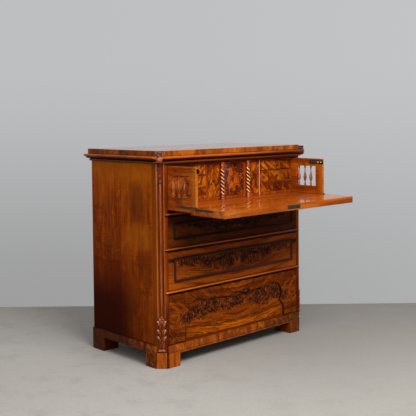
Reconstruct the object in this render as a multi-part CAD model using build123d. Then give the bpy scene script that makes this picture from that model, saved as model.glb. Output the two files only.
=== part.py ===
from build123d import *
import math
import os

# Secretaire chest of drawers. Millimetres, +Z up, the front faces -Y.
# Built with y = 0 on the front plane of the case and z = 0 on the floor, then every piece is moved
# along Y so that the origin is the centre of the whole object's footprint at rest.

# Overall sizes of the case. Its height adds up from the levels of its pieces, further down.
half_width = 515.0
case_depth = 545.0
cant = 30.0
stile_width = 17.0
post_depth = 60.0
side_thickness = 22.0
back_thickness = 12.0

# Feet and plinth
foot_height = 70.0
front_foot_length = 118.0
rear_foot_length = 94.0
foot_proud = 2.5
foot_facing_height = 6.0
foot_groove_width = 6.0
foot_groove_depth = 4.5
plinth_height = 40.0
plinth_proud = 8.0
plinth_bead_size = 9.0
plinth_bead_proud = 3.0
base_rail_depth = 22.0
bottom_board_thickness = 14.0

# Top board and cornice
top_thickness = 26.0
top_overhang = 3.5
top_back_overhang = 28.0
top_edge_round = 1.5
top_rail_height = 42.0
cornice_projection = 30.5
cornice_slope = 1.0
cornice_nose_height = 11.0
cornice_cove_drop = 24.0
cornice_cove_step = 5.0
cornice_bead_height = 11.0
cornice_bead_projection = 15.0
corner_block_width = 34.0
corner_block_lift = 20.0
corner_block_reach = 31.0
corner_block_foot_reach = 12.0
corner_block_waist_reach = 18.0
corner_block_top_reach = 9.0

# Drawer openings from the bottom up, and the rails between them
lower_opening = 244.0
middle_opening = 191.5
upper_opening = 154.5
rail_height = 14.0
rail_depth = 60.0
rail_bead_proud = 8.0

# Canted corners: recessed field, reed rod, capital, button and carved leaf
field_width = 26.4
field_depth = 3.0
reed_radius = 4.8
capital_drop = 88.0
capital_height = 11.0
capital_width = 25.0
capital_proud = 7.0
button_lift = 19.0
button_radius = 4.0
button_proud = 4.0
leaf_height = 157.0
leaf_half_width = 18.0
leaf_proud = 7.0
leaf_base_height = 12.0
leaf_base_width = 38.0
leaf_base_proud = 8.0

# Running gaps
side_gap = 1.5
front_gap = 1.0
slide_gap = 0.3
small_gap = 0.5

# Long drawers
front_thickness = 22.0
box_side_thickness = 12.0
box_back_thickness = 10.0
box_bottom_thickness = 8.0
box_bottom_raise = 10.0
box_back_gap = 43.0
box_top_drop = 3.0
panel_inset = 35.0
panel_width = 14.0
panel_proud = 6.0
long_travel = 330.0

# Runners, guides and stops
runner_width = 40.0
runner_height = 13.0
guide_height = 34.0
stop_length = 40.0
stop_depth = 16.0
stop_height = 6.0
stop_place_share = 0.5369

# Sunk arched field of the lowest drawer: shares of the drawer's half width and of the opening's height
arch_foot_share = 0.776
arch_leg_top_share = 0.143
arch_cusp_shares = (0.699, 0.365)
arch_lobe_shares = (0.735, 0.533)
arch_shoulder_shares = (0.562, 0.783)
arch_turn_shares = (0.369, 0.742)
arch_dip_shares = (0.171, 0.713)
arch_peak_share = 0.775
arch_sink = 8.0
arch_lining = 3.0

# Secretaire drawer
drawer_out = 197.0
board_thickness = 15.0
secretaire_height = 209.0
secretaire_top_gap = 4.0
secretaire_back_gap = 20.0
secretaire_drop = 20.0
floor_thickness = 14.0
window_front_margin = 45.0
window_rear_margin = 18.0
window_low_margin = 61.0
window_high_margin = 41.0
spindle_radius = 7.0
spindle_place_shares = (0.2836, 0.5821, 0.8881)

# Fall
fall_board_thickness = 32.0
fall_heel = 36.0
fall_gap = 0.5
fall_top_gap = 1.0
fall_panel_proud = 4.0
fall_rail_gap = 1.0

# Fall hinges: two thin straps that lap at a pin
leaf_thickness = 1.4
leaf_lap_gap = 0.3
strap_height = 12.0
strap_length = 110.0
eye_radius = 6.0
eye_clearance = 0.5
pin_radius = 1.5
pin_clearance = 0.05
side_strap_lift = 0.8

# Fall lock
lock_plate_half = 48.0
lock_plate_height = 20.0
lock_plate_thickness = 2.0
lock_body_half = 36.0
lock_body_height = 16.0
lock_body_depth = 30.0
bolt_half = 11.0
bolt_height = 7.0
bolt_length = 20.0
bolt_gap = 0.3
bolt_travel = 8.0
keep_clearance = 3.0

# Catch plates
catch_length = 89.0
catch_height = 26.0
catch_thickness = 2.0
catch_drop = 6.0
catch_head_radius = 4.0
catch_head_proud = 2.5
catch_head_spacing = 12.0

# Fitment
fitment_recess = 18.0
fitment_base_height = 14.0
fitment_top_thickness = 6.0
lining_thickness = 3.0
shelf_thickness = 3.0
upright_width = 34.0
narrow_width = 77.5
divider_width = 15.0
small_back_gap = 14.0
small_travel = 120.0
small_front_thickness = 9.0
small_side_thickness = 5.0
small_bottom_thickness = 4.0
small_bottom_raise = 2.0

# Knobs
knob_projection = 12.0
knob_radius = 5.5

# Twisted columns
column_inset = 13.0
column_depth = 20.0
column_foot_height = 8.0
column_cap_height = 7.0
column_ring_height = 4.0
column_ring_radius = 9.8
column_foot_neck = 10.0
column_cap_neck = 19.0
column_neck_radius = 8.2
column_waist_radius = 5.8
strand_radius = 6.0
strand_offset = 3.3
column_pitch = 38.0

# Centre door
door_half = 71.5
door_jamb_gap = 1.5
door_thickness = 10.0
door_hollow = 13.0
door_pivot_inset = 2.4
door_pivot_depth = 2.6
pivot_radius = 1.2
pivot_length = 5.0
pivot_clearance = 0.1
plate_width = 12.0
plate_height = 22.0
plate_thickness = 1.2

# Long drawer locks
escutcheon_width = 13.0
escutcheon_height = 22.0
escutcheon_proud = 0.8
lock_case_width = 60.0
lock_case_height = 36.0
lock_case_thickness = 9.0
key_radius = 2.6
key_slot_width = 2.4
key_slot_height = 7.0

overrun = 1.0

# Levels, from the floor up
plinth_top = foot_height + plinth_height
rail_low_bottom = plinth_top + lower_opening
rail_mid_bottom = rail_low_bottom + rail_height + middle_opening
rail_high_bottom = rail_mid_bottom + rail_height + upper_opening
rail_high_top = rail_high_bottom + rail_height
fall_bottom = rail_high_top + fall_rail_gap + fall_panel_proud
writing_height = fall_bottom + fall_board_thickness
secretaire_low = writing_height - secretaire_drop
secretaire_high = secretaire_low + secretaire_height
opening_top = secretaire_high + secretaire_top_gap
case_height = opening_top + top_rail_height
height = case_height + top_thickness
window_low = secretaire_low + window_low_margin
window_high = secretaire_high - window_high_margin
cornice_nose_top = case_height - cornice_slope
cornice_nose_low = cornice_nose_top - cornice_nose_height
cornice_cove_foot = case_height - cornice_cove_drop
cornice_bead_low = cornice_cove_foot - cornice_bead_height
leaf_foot = foot_height + foot_facing_height + leaf_base_height
leaf_top = leaf_foot + leaf_height
reed_top = cornice_bead_low - capital_drop
fitment_base_top = writing_height + fitment_base_height
fitment_top_low = secretaire_high - fitment_top_thickness
catch_top = secretaire_high - catch_drop

# Widths from the middle
opening_half = half_width - cant - stile_width
inner_half = half_width - side_thickness
drawer_half = opening_half - side_gap
inside_half = drawer_half - board_thickness
lining_face = inside_half - lining_thickness
upright_near = door_half + door_jamb_gap
upright_far = upright_near + upright_width
divider_near = upright_far + narrow_width
divider_far = divider_near + divider_width
column_x = upright_far - column_inset
diagonal_share = math.sqrt(2) - 1
cant_leg = cant + plinth_proud + plinth_proud - foot_proud * math.sqrt(2)
rib_radius = (cant / math.sqrt(2) - field_width / 2) / 2

# Depths from the front plane of the case
fall_length = secretaire_high - writing_height - fall_top_gap
fall_reach = drawer_out + fall_length
top_depth = case_depth + top_back_overhang
fall_axis_y = -drawer_out
slide_travel = drawer_out + fall_board_thickness
back_y = case_depth - back_thickness
box_length = back_y - box_back_gap
secretaire_back_y = back_y - slide_travel - secretaire_back_gap
fitment_front_y = fitment_recess
fitment_back_y = secretaire_back_y - back_thickness
small_length = fitment_back_y - fitment_front_y - small_back_gap
window_front_y = fall_axis_y + window_front_margin
window_rear_y = -window_rear_margin
case_front_y = (fall_reach - top_depth) / 2

os.makedirs("parts", exist_ok=True)


def save(name, *solids):
    """Move the solids to the row frame and write them as one node."""
    moved = [Pos(0, case_front_y, 0) * solid for solid in solids]
    shape = moved[0] if len(moved) == 1 else Compound(children=moved)
    export_step(shape, "parts/" + name + ".step")


def block(x0, x1, y0, y1, z0, z1):
    """A board between two corners."""
    corner = Pos(min(x0, x1), min(y0, y1), min(z0, z1))
    return corner * Solid.make_box(abs(x1 - x0), abs(y1 - y0), abs(z1 - z0))


def slab(points, z0, z1):
    """A flat plate with a polygon outline in plan."""
    return Pos(0, 0, z0) * extrude(make_face(Polyline(*points, close=True)), z1 - z0).solid()


def lathe(points, place=Pos(0, 0, 0)):
    """A turned piece about Z from (radius, height) points."""
    outline = Polyline(*[(radius, 0, level) for radius, level in points], close=True)
    return place * revolve(make_face(outline), Axis.Z).solid()


def other_side(solid):
    return mirror(solid, about=Plane.YZ)


def both(solid):
    return [solid, other_side(solid)]


def plan(proud, back):
    """Plan line of the canted case, moved outwards, from back right round the front to back left."""
    edge = half_width + proud
    near = half_width - cant + diagonal_share * proud
    turn = cant - diagonal_share * proud
    return [(edge, back), (edge, turn), (near, -proud), (-near, -proud), (-edge, turn), (-edge, back)]


def mitred(section, corners, closed=False):
    """Straight lengths of one section along corners in plan, mitred where they meet.

    The section's x points to the left of the way along the corners and its y points up.
    """
    count = len(corners)
    reach = section.bounding_box().size.X + abs(section.bounding_box().min.X)
    lengths = []
    for index in range(count if closed else count - 1):
        start = Vector(*corners[index])
        end = Vector(*corners[(index + 1) % count])
        way = (end - start).normalized()
        left = Vector(-way.Y, way.X, 0)
        run = extrude(Plane(origin=start - way * reach, x_dir=left, z_dir=way) * section,
                      (end - start).length + reach + reach)
        before = way
        after = way
        if closed or index > 0:
            before = (start - Vector(*corners[index - 1])).normalized()
        if closed or index < count - 2:
            after = (Vector(*corners[(index + 2) % count]) - end).normalized()
        run = split(run, bisect_by=Plane(origin=start, z_dir=(before + way).normalized()), keep=Keep.TOP)
        run = split(run, bisect_by=Plane(origin=end, z_dir=(way + after).normalized()), keep=Keep.BOTTOM)
        lengths.append(run.solid())
    return lengths


def on_front(solid, y=0.0):
    """From the flat, x right and y up on the front, to its place on the front plane."""
    return Plane(origin=(0, y, 0), x_dir=(1, 0, 0), z_dir=(0, -1, 0)).location * solid


cant_plane = Plane(origin=(half_width - cant / 2, cant / 2, 0), x_dir=(1, 1, 0), z_dir=(1, -1, 0))


def on_cant(solid):
    """From x along the right cant, y up and z outwards, to its place."""
    return cant_plane.location * solid


# Case boards
post_plan = [(opening_half, 0), (half_width - cant, 0), (half_width, cant),
             (half_width, post_depth), (opening_half, post_depth)]
post = slab(post_plan, foot_height, case_height)
field = block(-field_width / 2, field_width / 2, leaf_foot, cornice_bead_low, -field_depth, overrun)
post = (post - on_cant(field)).solid()
save("corner_posts", *both(post))

side = block(inner_half, half_width, post_depth, case_depth, foot_height, case_height)
save("side_right", side)
save("side_left", other_side(side))

save("case_back", block(-inner_half, inner_half, back_y, case_depth, foot_height, case_height))
bottom_low = plinth_top - bottom_board_thickness
save("bottom_board", block(-opening_half, opening_half, base_rail_depth, back_y, bottom_low, plinth_top))

top_plan = plan(top_overhang, top_depth)
top = slab(top_plan, case_height, height)
top_edges = [edge for edge in top.edges().group_by(Axis.Z)[-1] if edge.center().Y < top_depth - overrun]
save("top_board", top.fillet(top_edge_round, top_edges))

keep = block(-bolt_half - keep_clearance, bolt_half + keep_clearance,
             fall_board_thickness / 2 - bolt_height, fall_board_thickness / 2 + bolt_height,
             opening_top - overrun, opening_top + bolt_travel + keep_clearance)
save("top_rail", block(-opening_half, opening_half, 0, rail_depth, opening_top, case_height) - keep)

rail_bottoms = (rail_low_bottom, rail_mid_bottom, rail_high_bottom)
rails = []
for rail_bottom in rail_bottoms:
    rail = block(-opening_half, opening_half, 0, rail_depth, rail_bottom, rail_bottom + rail_height)
    bead_radius = rail_height / 2
    bead = Pos(-opening_half, bead_radius - rail_bead_proud, rail_bottom + bead_radius) * (
        Rot(0, 90, 0) * Solid.make_cylinder(bead_radius, opening_half * 2))
    nosing = block(-opening_half, opening_half, bead_radius - rail_bead_proud, 0,
                   rail_bottom, rail_bottom + rail_height)
    rails.append((rail + nosing + bead).solid())
rails.append(block(-opening_half, opening_half, 0, base_rail_depth, foot_height, plinth_top))
save("drawer_rails", *rails)

# Cornice: nose over a cove, with a bead under it
nose_radius = (cornice_nose_top - cornice_nose_low) / 2
nose_x = cornice_projection - nose_radius
nose_middle = cornice_nose_low + nose_radius
cornice_outline = [
    Line((0, case_height), (top_overhang, case_height)),
    Line((top_overhang, case_height), (nose_x, cornice_nose_top)),
    ThreePointArc((nose_x, cornice_nose_top), (cornice_projection, nose_middle), (nose_x, cornice_nose_low)),
    Line((nose_x, cornice_nose_low), (nose_x - nose_radius, cornice_nose_low)),
    RadiusArc((nose_x - nose_radius, cornice_nose_low), (cornice_cove_step, cornice_cove_foot),
              nose_x - nose_radius),
    Line((cornice_cove_step, cornice_cove_foot), (0, cornice_cove_foot)),
    Line((0, cornice_cove_foot), (0, case_height)),
]

cornice_runs = mitred(make_face(cornice_outline), plan(0, top_depth))

# Rounded block on the cornice at each canted corner, in one with the mitred length behind it
block_waist = case_height + overrun
block_top = case_height + corner_block_lift
block_outline = [
    Line((0, cornice_cove_foot), (corner_block_foot_reach, cornice_cove_foot)),
    ThreePointArc((corner_block_foot_reach, cornice_cove_foot), (corner_block_reach, nose_middle),
                  (corner_block_waist_reach, block_waist)),
    ThreePointArc((corner_block_waist_reach, block_waist),
                  ((corner_block_waist_reach + corner_block_top_reach) / 2 + overrun,
                   (block_waist + block_top) / 2),
                  (corner_block_top_reach, block_top)),
    Line((corner_block_top_reach, block_top), (top_overhang, block_top)),
    Line((top_overhang, block_top), (top_overhang, case_height)),
    Line((top_overhang, case_height), (0, case_height)),
    Line((0, case_height), (0, cornice_cove_foot)),
]
corner_block = extrude(make_face(block_outline), corner_block_width / 2, both=True).solid()
corner_block = on_cant(Rot(0, -90, 0) * corner_block)
cornice_runs[1] = (cornice_runs[1] + corner_block).solid()
cornice_runs[-2] = other_side(cornice_runs[1])

bead_nose = cornice_bead_projection - cornice_bead_height / 2
bead_outline = [
    Line((0, cornice_cove_foot), (bead_nose, cornice_cove_foot)),
    ThreePointArc((bead_nose, cornice_cove_foot), (cornice_bead_projection, cornice_cove_foot - cornice_bead_height / 2),
                  (bead_nose, cornice_bead_low)),
    Line((bead_nose, cornice_bead_low), (0, cornice_bead_low)),
    Line((0, cornice_bead_low), (0, cornice_cove_foot)),
]
save("cornice_moulding", *cornice_runs, *mitred(make_face(bead_outline), plan(0, case_depth)))

# Plinth boards stand proud of the case between the canted corners
plinth_front_half = half_width - cant - foot_groove_width - foot_proud
plinth_pieces = [block(-plinth_front_half, plinth_front_half, -plinth_proud, 0, foot_height, plinth_top)]
plinth_side_front = cant_leg - plinth_proud + foot_proud
plinth_side = block(half_width, half_width + plinth_proud, plinth_side_front, case_depth, foot_height, plinth_top)
plinth_pieces += both(plinth_side)
plinth_bead_radius = plinth_bead_size / 2
plinth_bead_half = half_width + plinth_proud - front_foot_length
bead_axis_y = plinth_bead_radius - plinth_proud - plinth_bead_proud
plinth_bead = Pos(-plinth_bead_half, bead_axis_y, foot_height - plinth_bead_radius) * (
    Rot(0, 90, 0) * Solid.make_cylinder(plinth_bead_radius, plinth_bead_half * 2))
bead_bed = block(-plinth_bead_half, plinth_bead_half, bead_axis_y, base_rail_depth,
                 foot_height - plinth_bead_size, foot_height)
plinth_pieces.append((plinth_bead + bead_bed).solid())
save("plinth_frame", *plinth_pieces)

# Feet: the front ones are canted, with a facing that carries the carved leaf
foot_edge = half_width + plinth_proud
foot_plan = [
    (foot_edge - front_foot_length, -plinth_proud),
    (foot_edge - cant_leg - foot_groove_width, -plinth_proud),
    (foot_edge - cant_leg - foot_groove_width, foot_groove_depth - plinth_proud),
    (foot_edge - cant_leg, foot_groove_depth - plinth_proud),
    (foot_edge - cant_leg, -plinth_proud),
    (foot_edge, cant_leg - plinth_proud),
    (foot_edge, front_foot_length - plinth_proud),
    (foot_edge - front_foot_length, front_foot_length - plinth_proud),
]
front_foot = slab(foot_plan, 0, foot_height)
facing_half = cant_leg / math.sqrt(2)
facing = on_cant(block(-facing_half, facing_half, foot_height - overrun, foot_height + foot_facing_height,
                       0, foot_proud))
front_foot = (front_foot + facing).solid()
save("front_feet", *both(front_foot))
rear_foot = block(foot_edge - rear_foot_length, foot_edge, case_depth - rear_foot_length, case_depth,
                  0, foot_height)
save("rear_feet", *both(rear_foot))

# Corner trim: reed rod with capital and button between two ribs, and the carved leaf on its ledge
reed = Pos(0, leaf_top, 0) * (Rot(-90, 0, 0) * Solid.make_cylinder(reed_radius, reed_top - leaf_top))
reed = split(reed, bisect_by=Plane(origin=(0, 0, -field_depth)), keep=Keep.TOP).solid()
capital = block(-capital_width / 2, capital_width / 2, reed_top, reed_top + capital_height,
                -field_depth, capital_proud - field_depth)
button_z = reed_top + capital_height + button_lift
button = Pos(0, button_z, -field_depth) * Solid.make_cone(button_radius, button_radius / 2, button_proud)
rib = Pos(field_width / 2 + rib_radius, leaf_top, 0) * (
    Rot(-90, 0, 0) * Solid.make_cylinder(rib_radius, cornice_bead_low - leaf_top))
rib = split(rib, bisect_by=Plane.XY, keep=Keep.TOP).solid()
reeds = []
for piece in (reed, capital, button, rib, other_side(rib)):
    reeds += both(on_cant(piece))
save("corner_reeds", *reeds)

leaf_length = leaf_top - leaf_foot
leaf_width_shares = ((0.0, 0.55), (0.10, 0.95), (0.22, 0.80), (0.34, 0.55), (0.44, 0.98), (0.58, 0.72),
                     (0.66, 0.55), (0.76, 1.0), (0.90, 0.78), (1.0, 0.55))
leaf_right = [(leaf_half_width * share, leaf_foot + leaf_length * level) for level, share in leaf_width_shares]
leaf_left = [(-x, y) for x, y in reversed(leaf_right)]
leaf = extrude(make_face(Polyline(*leaf_right, *leaf_left, close=True)), leaf_proud)
leaf_edges = leaf.edges().group_by(Axis.Z)[-1]
leaf = leaf.solid().chamfer(leaf_proud / 3, None, leaf_edges)
leaf_back = block(-field_width / 2, field_width / 2, leaf_foot, leaf_top, -field_depth, 0)
leaf = (leaf + leaf_back).solid()
leaf_base = block(-leaf_base_width / 2, leaf_base_width / 2, leaf_foot - leaf_base_height, leaf_foot,
                  0, leaf_base_proud)
leaves = []
for piece in (leaf, leaf_base):
    leaves += both(on_cant(piece))
save("leaf_carvings", *leaves)

# Runners and guides of every drawer, and the drawer stops
long_openings = (
    ("lower", plinth_top, rail_low_bottom),
    ("middle", rail_low_bottom + rail_height, rail_mid_bottom),
    ("upper", rail_mid_bottom + rail_height, rail_high_bottom),
)
runners = []
stops = []
for label, low, high in long_openings:
    guide = block(opening_half, inner_half, post_depth, back_y, low, low + guide_height)
    runners += both(guide)
    if low > plinth_top:
        runner = block(inner_half - runner_width, inner_half, rail_depth, back_y, low - runner_height, low)
        runners += both(runner)
    stop_y = front_thickness + small_gap
    stop_x = stop_place_share * drawer_half
    stop = block(stop_x, stop_x + stop_length, stop_y, stop_y + stop_depth, low, low + stop_height)
    stops += both(stop)
secretaire_run = secretaire_low - slide_gap
heel_clear_y = fall_axis_y + fall_heel + slide_travel + fall_gap + small_gap
runner = block(inner_half - runner_width, inner_half, heel_clear_y, back_y,
               secretaire_run - runner_height, secretaire_run)
guide = block(opening_half, inner_half, heel_clear_y, back_y, secretaire_run, secretaire_run + guide_height)
runners += both(runner) + both(guide)
save("drawer_runners", *runners)
save("drawer_stops", *stops)


def panel_frame(half_x, low, high, proud):
    """Moulding frame laid flat: an ogee section, highest near its outer edge."""
    width_shares = (0.0, 0.0, 0.20, 0.42, 0.62, 1.0, 1.0)
    height_shares = (0.0, 0.55, 1.0, 1.0, 0.50, 0.25, 0.0)
    outline = [(panel_width * across, proud * up) for across, up in zip(width_shares, height_shares)]
    section = make_face(Polyline(*outline, close=True))
    corners = [(-half_x, low), (half_x, low), (half_x, high), (-half_x, high)]
    return mitred(section, corners, closed=True)


def arch_field():
    """The sunk field of the lowest drawer laid flat: the solid to cut, and the lining round its arch."""
    def place(across_share, up_share):
        return (drawer_half * across_share, plinth_top + lower_opening * up_share)

    bottom = plinth_top + front_gap
    foot = (drawer_half * arch_foot_share, bottom - arch_lining * 2)
    leg_top = place(arch_foot_share, arch_leg_top_share)
    cusp = place(*arch_cusp_shares)
    shoulder = place(*arch_shoulder_shares)
    turn = place(*arch_turn_shares)
    dip = place(*arch_dip_shares)
    right = [
        Line(foot, leg_top),
        TangentArc(leg_top, cusp, tangent=(0, 1)),
        ThreePointArc(cusp, place(*arch_lobe_shares), shoulder),
        TangentArc(turn, shoulder, tangent=(1, 0)),
        TangentArc(turn, dip, tangent=(-1, 0)),
        TangentArc(dip, place(0, arch_peak_share), tangent=(-1, 0)),
    ]
    left = [mirror(line, about=Plane.YZ) for line in right]
    sill = Line(foot, (-foot[0], foot[1]))
    outline = make_face([edge for line in [*right, *left, sill] for edge in line.edges()])
    ring = outline - offset(outline, -arch_lining)
    cut = Pos(0, 0, -arch_sink) * extrude(outline, arch_sink + overrun, dir=(0, 0, 1))
    lining = Pos(0, 0, -arch_sink) * extrude(ring, arch_sink, dir=(0, 0, 1))
    drawer = Pos(-drawer_half, bottom, -arch_sink) * (
        Solid.make_box(drawer_half * 2, lower_opening - front_gap * 2, arch_sink))
    return cut.solid(), (lining & drawer).solids()


def keyhole(depth):
    """A keyhole, round above and slotted below, cut along z."""
    hole = Solid.make_cylinder(key_radius, depth)
    slot = block(-key_slot_width / 2, key_slot_width / 2, -key_slot_height, 0, 0, depth)
    return (hole + slot).solid()


# Long drawers, drawn shut
for label, low, high in long_openings:
    bottom_z = low + front_gap
    top_z = high - front_gap
    middle_z = (bottom_z + top_z) / 2
    key_z = top_z - lock_case_height / 2 - panel_inset - panel_width
    if label == "lower":
        key_z = plinth_top + lower_opening * arch_dip_shares[1]
    if label == "upper":
        key_z = middle_z
    front = block(-drawer_half, drawer_half, 0, front_thickness, bottom_z, top_z)
    plate_y = 0
    if label == "lower":
        field_cut, trim = arch_field()
        front = front - on_front(field_cut)
        plate_y = arch_sink
    else:
        trim = panel_frame(drawer_half - panel_inset, bottom_z + panel_inset, top_z - panel_inset, panel_proud)
    hole_place = Pos(0, front_thickness + overrun, key_z) * Rot(90, 0, 0)
    front = (front - hole_place * keyhole(front_thickness + overrun * 2)).solid()
    bed = block(-lock_case_width / 2, lock_case_width / 2, front_thickness - lock_case_thickness,
                front_thickness, key_z - lock_case_height / 2, key_z + lock_case_height / 2)
    plate_cut = block(-escutcheon_width / 2, escutcheon_width / 2, plate_y, plate_y + escutcheon_proud,
                      key_z - escutcheon_height / 2, key_z + escutcheon_height / 2)
    front = (front - bed - plate_cut).solid()
    save(label + "_drawer_front", front)
    lock_hole = Pos(0, front_thickness + overrun, key_z) * Rot(90, 0, 0) * (
        keyhole(front_thickness + overrun * 2))
    plate = (plate_cut - lock_hole).solid()
    lock_case = (bed - lock_hole).solid()
    save(label + "_drawer_lock", plate, lock_case)
    side_top = top_z - box_top_drop
    long_side = block(drawer_half - box_side_thickness, drawer_half, front_thickness, box_length,
                      bottom_z, side_top)
    back = block(-drawer_half + box_side_thickness, drawer_half - box_side_thickness,
                 box_length - box_back_thickness, box_length, bottom_z + box_bottom_raise, side_top)
    floor = block(-drawer_half + box_side_thickness, drawer_half - box_side_thickness,
                  front_thickness, box_length - box_back_thickness,
                  bottom_z + box_bottom_raise, bottom_z + box_bottom_raise + box_bottom_thickness)
    save(label + "_drawer_box", *both(long_side), back, floor)
    save(label + "_drawer_moulding", *[on_front(piece) for piece in trim])

# Sides of the secretaire drawer: four boards round a window, notched over the heel of the fall
side_front_y = fall_axis_y + fall_gap
heel_y = fall_axis_y + fall_heel + fall_gap
eye_x0 = drawer_half - leaf_thickness * 2 - leaf_lap_gap
eye_cut = Pos(eye_x0 - leaf_lap_gap, fall_axis_y, writing_height) * (
    Rot(0, 90, 0) * Solid.make_cylinder(eye_radius + eye_clearance, board_thickness))
low_board = block(inside_half, drawer_half, side_front_y, secretaire_back_y, secretaire_low, window_low)
heel_notch = block(0, half_width, fall_axis_y - fall_heel, heel_y, 0, writing_height + fall_gap)
strap_top = writing_height + strap_height / 2
strap_low = writing_height - strap_height / 2
side_strap_cut = block(drawer_half - leaf_thickness, half_width, side_front_y - overrun,
                       fall_axis_y + strap_length, strap_low, strap_top)
low_board = (low_board - heel_notch - eye_cut - side_strap_cut).solid()
high_board = block(inside_half, drawer_half, side_front_y, secretaire_back_y, window_high, secretaire_high)
catch_low = catch_top - catch_height
catch_cut = block(inside_half, inside_half + catch_thickness, side_front_y - overrun,
                  side_front_y + catch_length, catch_low, catch_top)
high_board = (high_board - catch_cut).solid()
stile = block(inside_half, drawer_half, side_front_y, window_front_y, window_low, window_high)
rear_board = block(inside_half, drawer_half, window_rear_y, secretaire_back_y, window_low, window_high)
gallery = [low_board, high_board, stile, rear_board]
save("gallery_side_right", *gallery)
save("gallery_side_left", *[other_side(piece) for piece in gallery])

spindle_height = window_high - window_low
spindle_shares = ((0.0, 0.0), (0.80, 0.0), (0.80, 0.05), (0.55, 0.08), (0.85, 0.12), (0.45, 0.17), (0.42, 0.22),
                  (0.80, 0.33), (1.0, 0.44), (0.85, 0.54), (0.55, 0.62), (0.42, 0.72), (0.40, 0.88),
                  (0.70, 0.91), (0.50, 0.94), (0.75, 0.96), (0.75, 1.0), (0.0, 1.0))
spindle_outline = [(spindle_radius * across, spindle_height * up) for across, up in spindle_shares]
spindles = []
for share in spindle_place_shares:
    spindle_y = window_front_y + (window_rear_y - window_front_y) * share
    place = Pos(inside_half + board_thickness / 2, spindle_y, window_low)
    spindles += both(lathe(spindle_outline, place))
save("gallery_spindles", *spindles)

floor_low = writing_height - floor_thickness
save("secretaire_floor", block(-inside_half, inside_half, heel_y, fitment_back_y, floor_low, writing_height))
save("secretaire_back", block(-inside_half, inside_half, fitment_back_y, secretaire_back_y,
                              secretaire_low, secretaire_high))

# Hinge straps: the side leaf carries the pin, the fall leaf turns on it
pin_length = leaf_thickness + leaf_lap_gap
side_strap = block(drawer_half - leaf_thickness, drawer_half, fall_axis_y, heel_y,
                   writing_height + side_strap_lift, strap_top)
side_strap = side_strap + block(drawer_half - leaf_thickness, drawer_half, heel_y,
                                fall_axis_y + strap_length, strap_low, strap_top)
eye_turn = Rot(0, 90, 0)
side_eye = Pos(drawer_half - leaf_thickness, fall_axis_y, writing_height) * (
    eye_turn * Solid.make_cylinder(eye_radius, leaf_thickness))
side_pin = Pos(eye_x0, fall_axis_y, writing_height) * (
    eye_turn * Solid.make_cylinder(pin_radius, pin_length + leaf_thickness / 2))
side_leaf = (side_strap + side_eye + side_pin).solid()
save("fall_hinge_side_leaves", *both(side_leaf))

fall_strap = block(eye_x0, drawer_half, fall_axis_y - strap_length, fall_axis_y - eye_radius - eye_clearance,
                   writing_height - strap_height, writing_height)
fall_link = block(eye_x0, eye_x0 + leaf_thickness, fall_axis_y - eye_radius - eye_clearance - overrun,
                  fall_axis_y, writing_height - strap_height / 2, writing_height)
fall_eye = Pos(eye_x0, fall_axis_y, writing_height) * (
    eye_turn * Solid.make_cylinder(eye_radius, leaf_thickness))
fall_bore = Pos(0, fall_axis_y, writing_height) * (
    eye_turn * Solid.make_cylinder(pin_radius + pin_clearance, half_width))
fall_leaf = (fall_strap + fall_link + fall_eye - fall_bore).solid()
save("fall_hinge_leaves", *both(fall_leaf))

# Catch plates inside the front of the sides
catch = block(inside_half, inside_half + catch_thickness, side_front_y, side_front_y + catch_length,
              catch_low, catch_top)
for step in (-1, 1):
    head_y = side_front_y + catch_length / 2 + step * catch_head_spacing / 2
    head = Pos(inside_half + overrun, head_y, (catch_low + catch_top) / 2) * (
        Rot(0, -90, 0) * Solid.make_cone(catch_head_radius, catch_head_radius / 2, catch_head_proud + overrun))
    catch = catch + head
save("catch_plates", *both(catch.solid()))

# Fall, lying open and level
tip_y = -fall_reach
fall_heel_y = fall_axis_y + fall_heel
fall = block(-drawer_half, drawer_half, tip_y, fall_heel_y, fall_bottom, writing_height)
for piece in both(eye_cut):
    fall = fall - piece
strap_cut = block(eye_x0, half_width, fall_axis_y - strap_length, fall_axis_y,
                  writing_height - strap_height, writing_height + overrun)
for piece in both(strap_cut):
    fall = fall - piece
lock_z = (fall_bottom + writing_height) / 2
plate = block(-lock_plate_half, lock_plate_half, tip_y, tip_y + lock_plate_thickness,
              lock_z - lock_plate_height / 2, lock_z + lock_plate_height / 2)
lock_body = block(-lock_body_half, lock_body_half, tip_y + lock_plate_thickness, tip_y + lock_body_depth,
                  lock_z - lock_body_height / 2, lock_z + lock_body_height / 2)
fall = (fall - plate - lock_body).solid()
save("fall_board", fall)
bolt_room = block(-bolt_half - bolt_gap, bolt_half + bolt_gap, tip_y, tip_y + bolt_length + bolt_gap,
                  lock_z - bolt_height / 2 - bolt_gap, lock_z + bolt_height / 2 + bolt_gap)
save("fall_lock", (plate + lock_body - bolt_room).solid())
save("fall_lock_bolt", block(-bolt_half, bolt_half, tip_y, tip_y + bolt_length,
                             lock_z - bolt_height / 2, lock_z + bolt_height / 2))
fall_trim = panel_frame(drawer_half - panel_inset, -fall_heel_y + panel_inset, fall_reach - panel_inset,
                        fall_panel_proud)
under = Plane(origin=(0, 0, fall_bottom), x_dir=(1, 0, 0), z_dir=(0, 0, -1)).location
save("fall_moulding", *[under * piece for piece in fall_trim])

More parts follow.
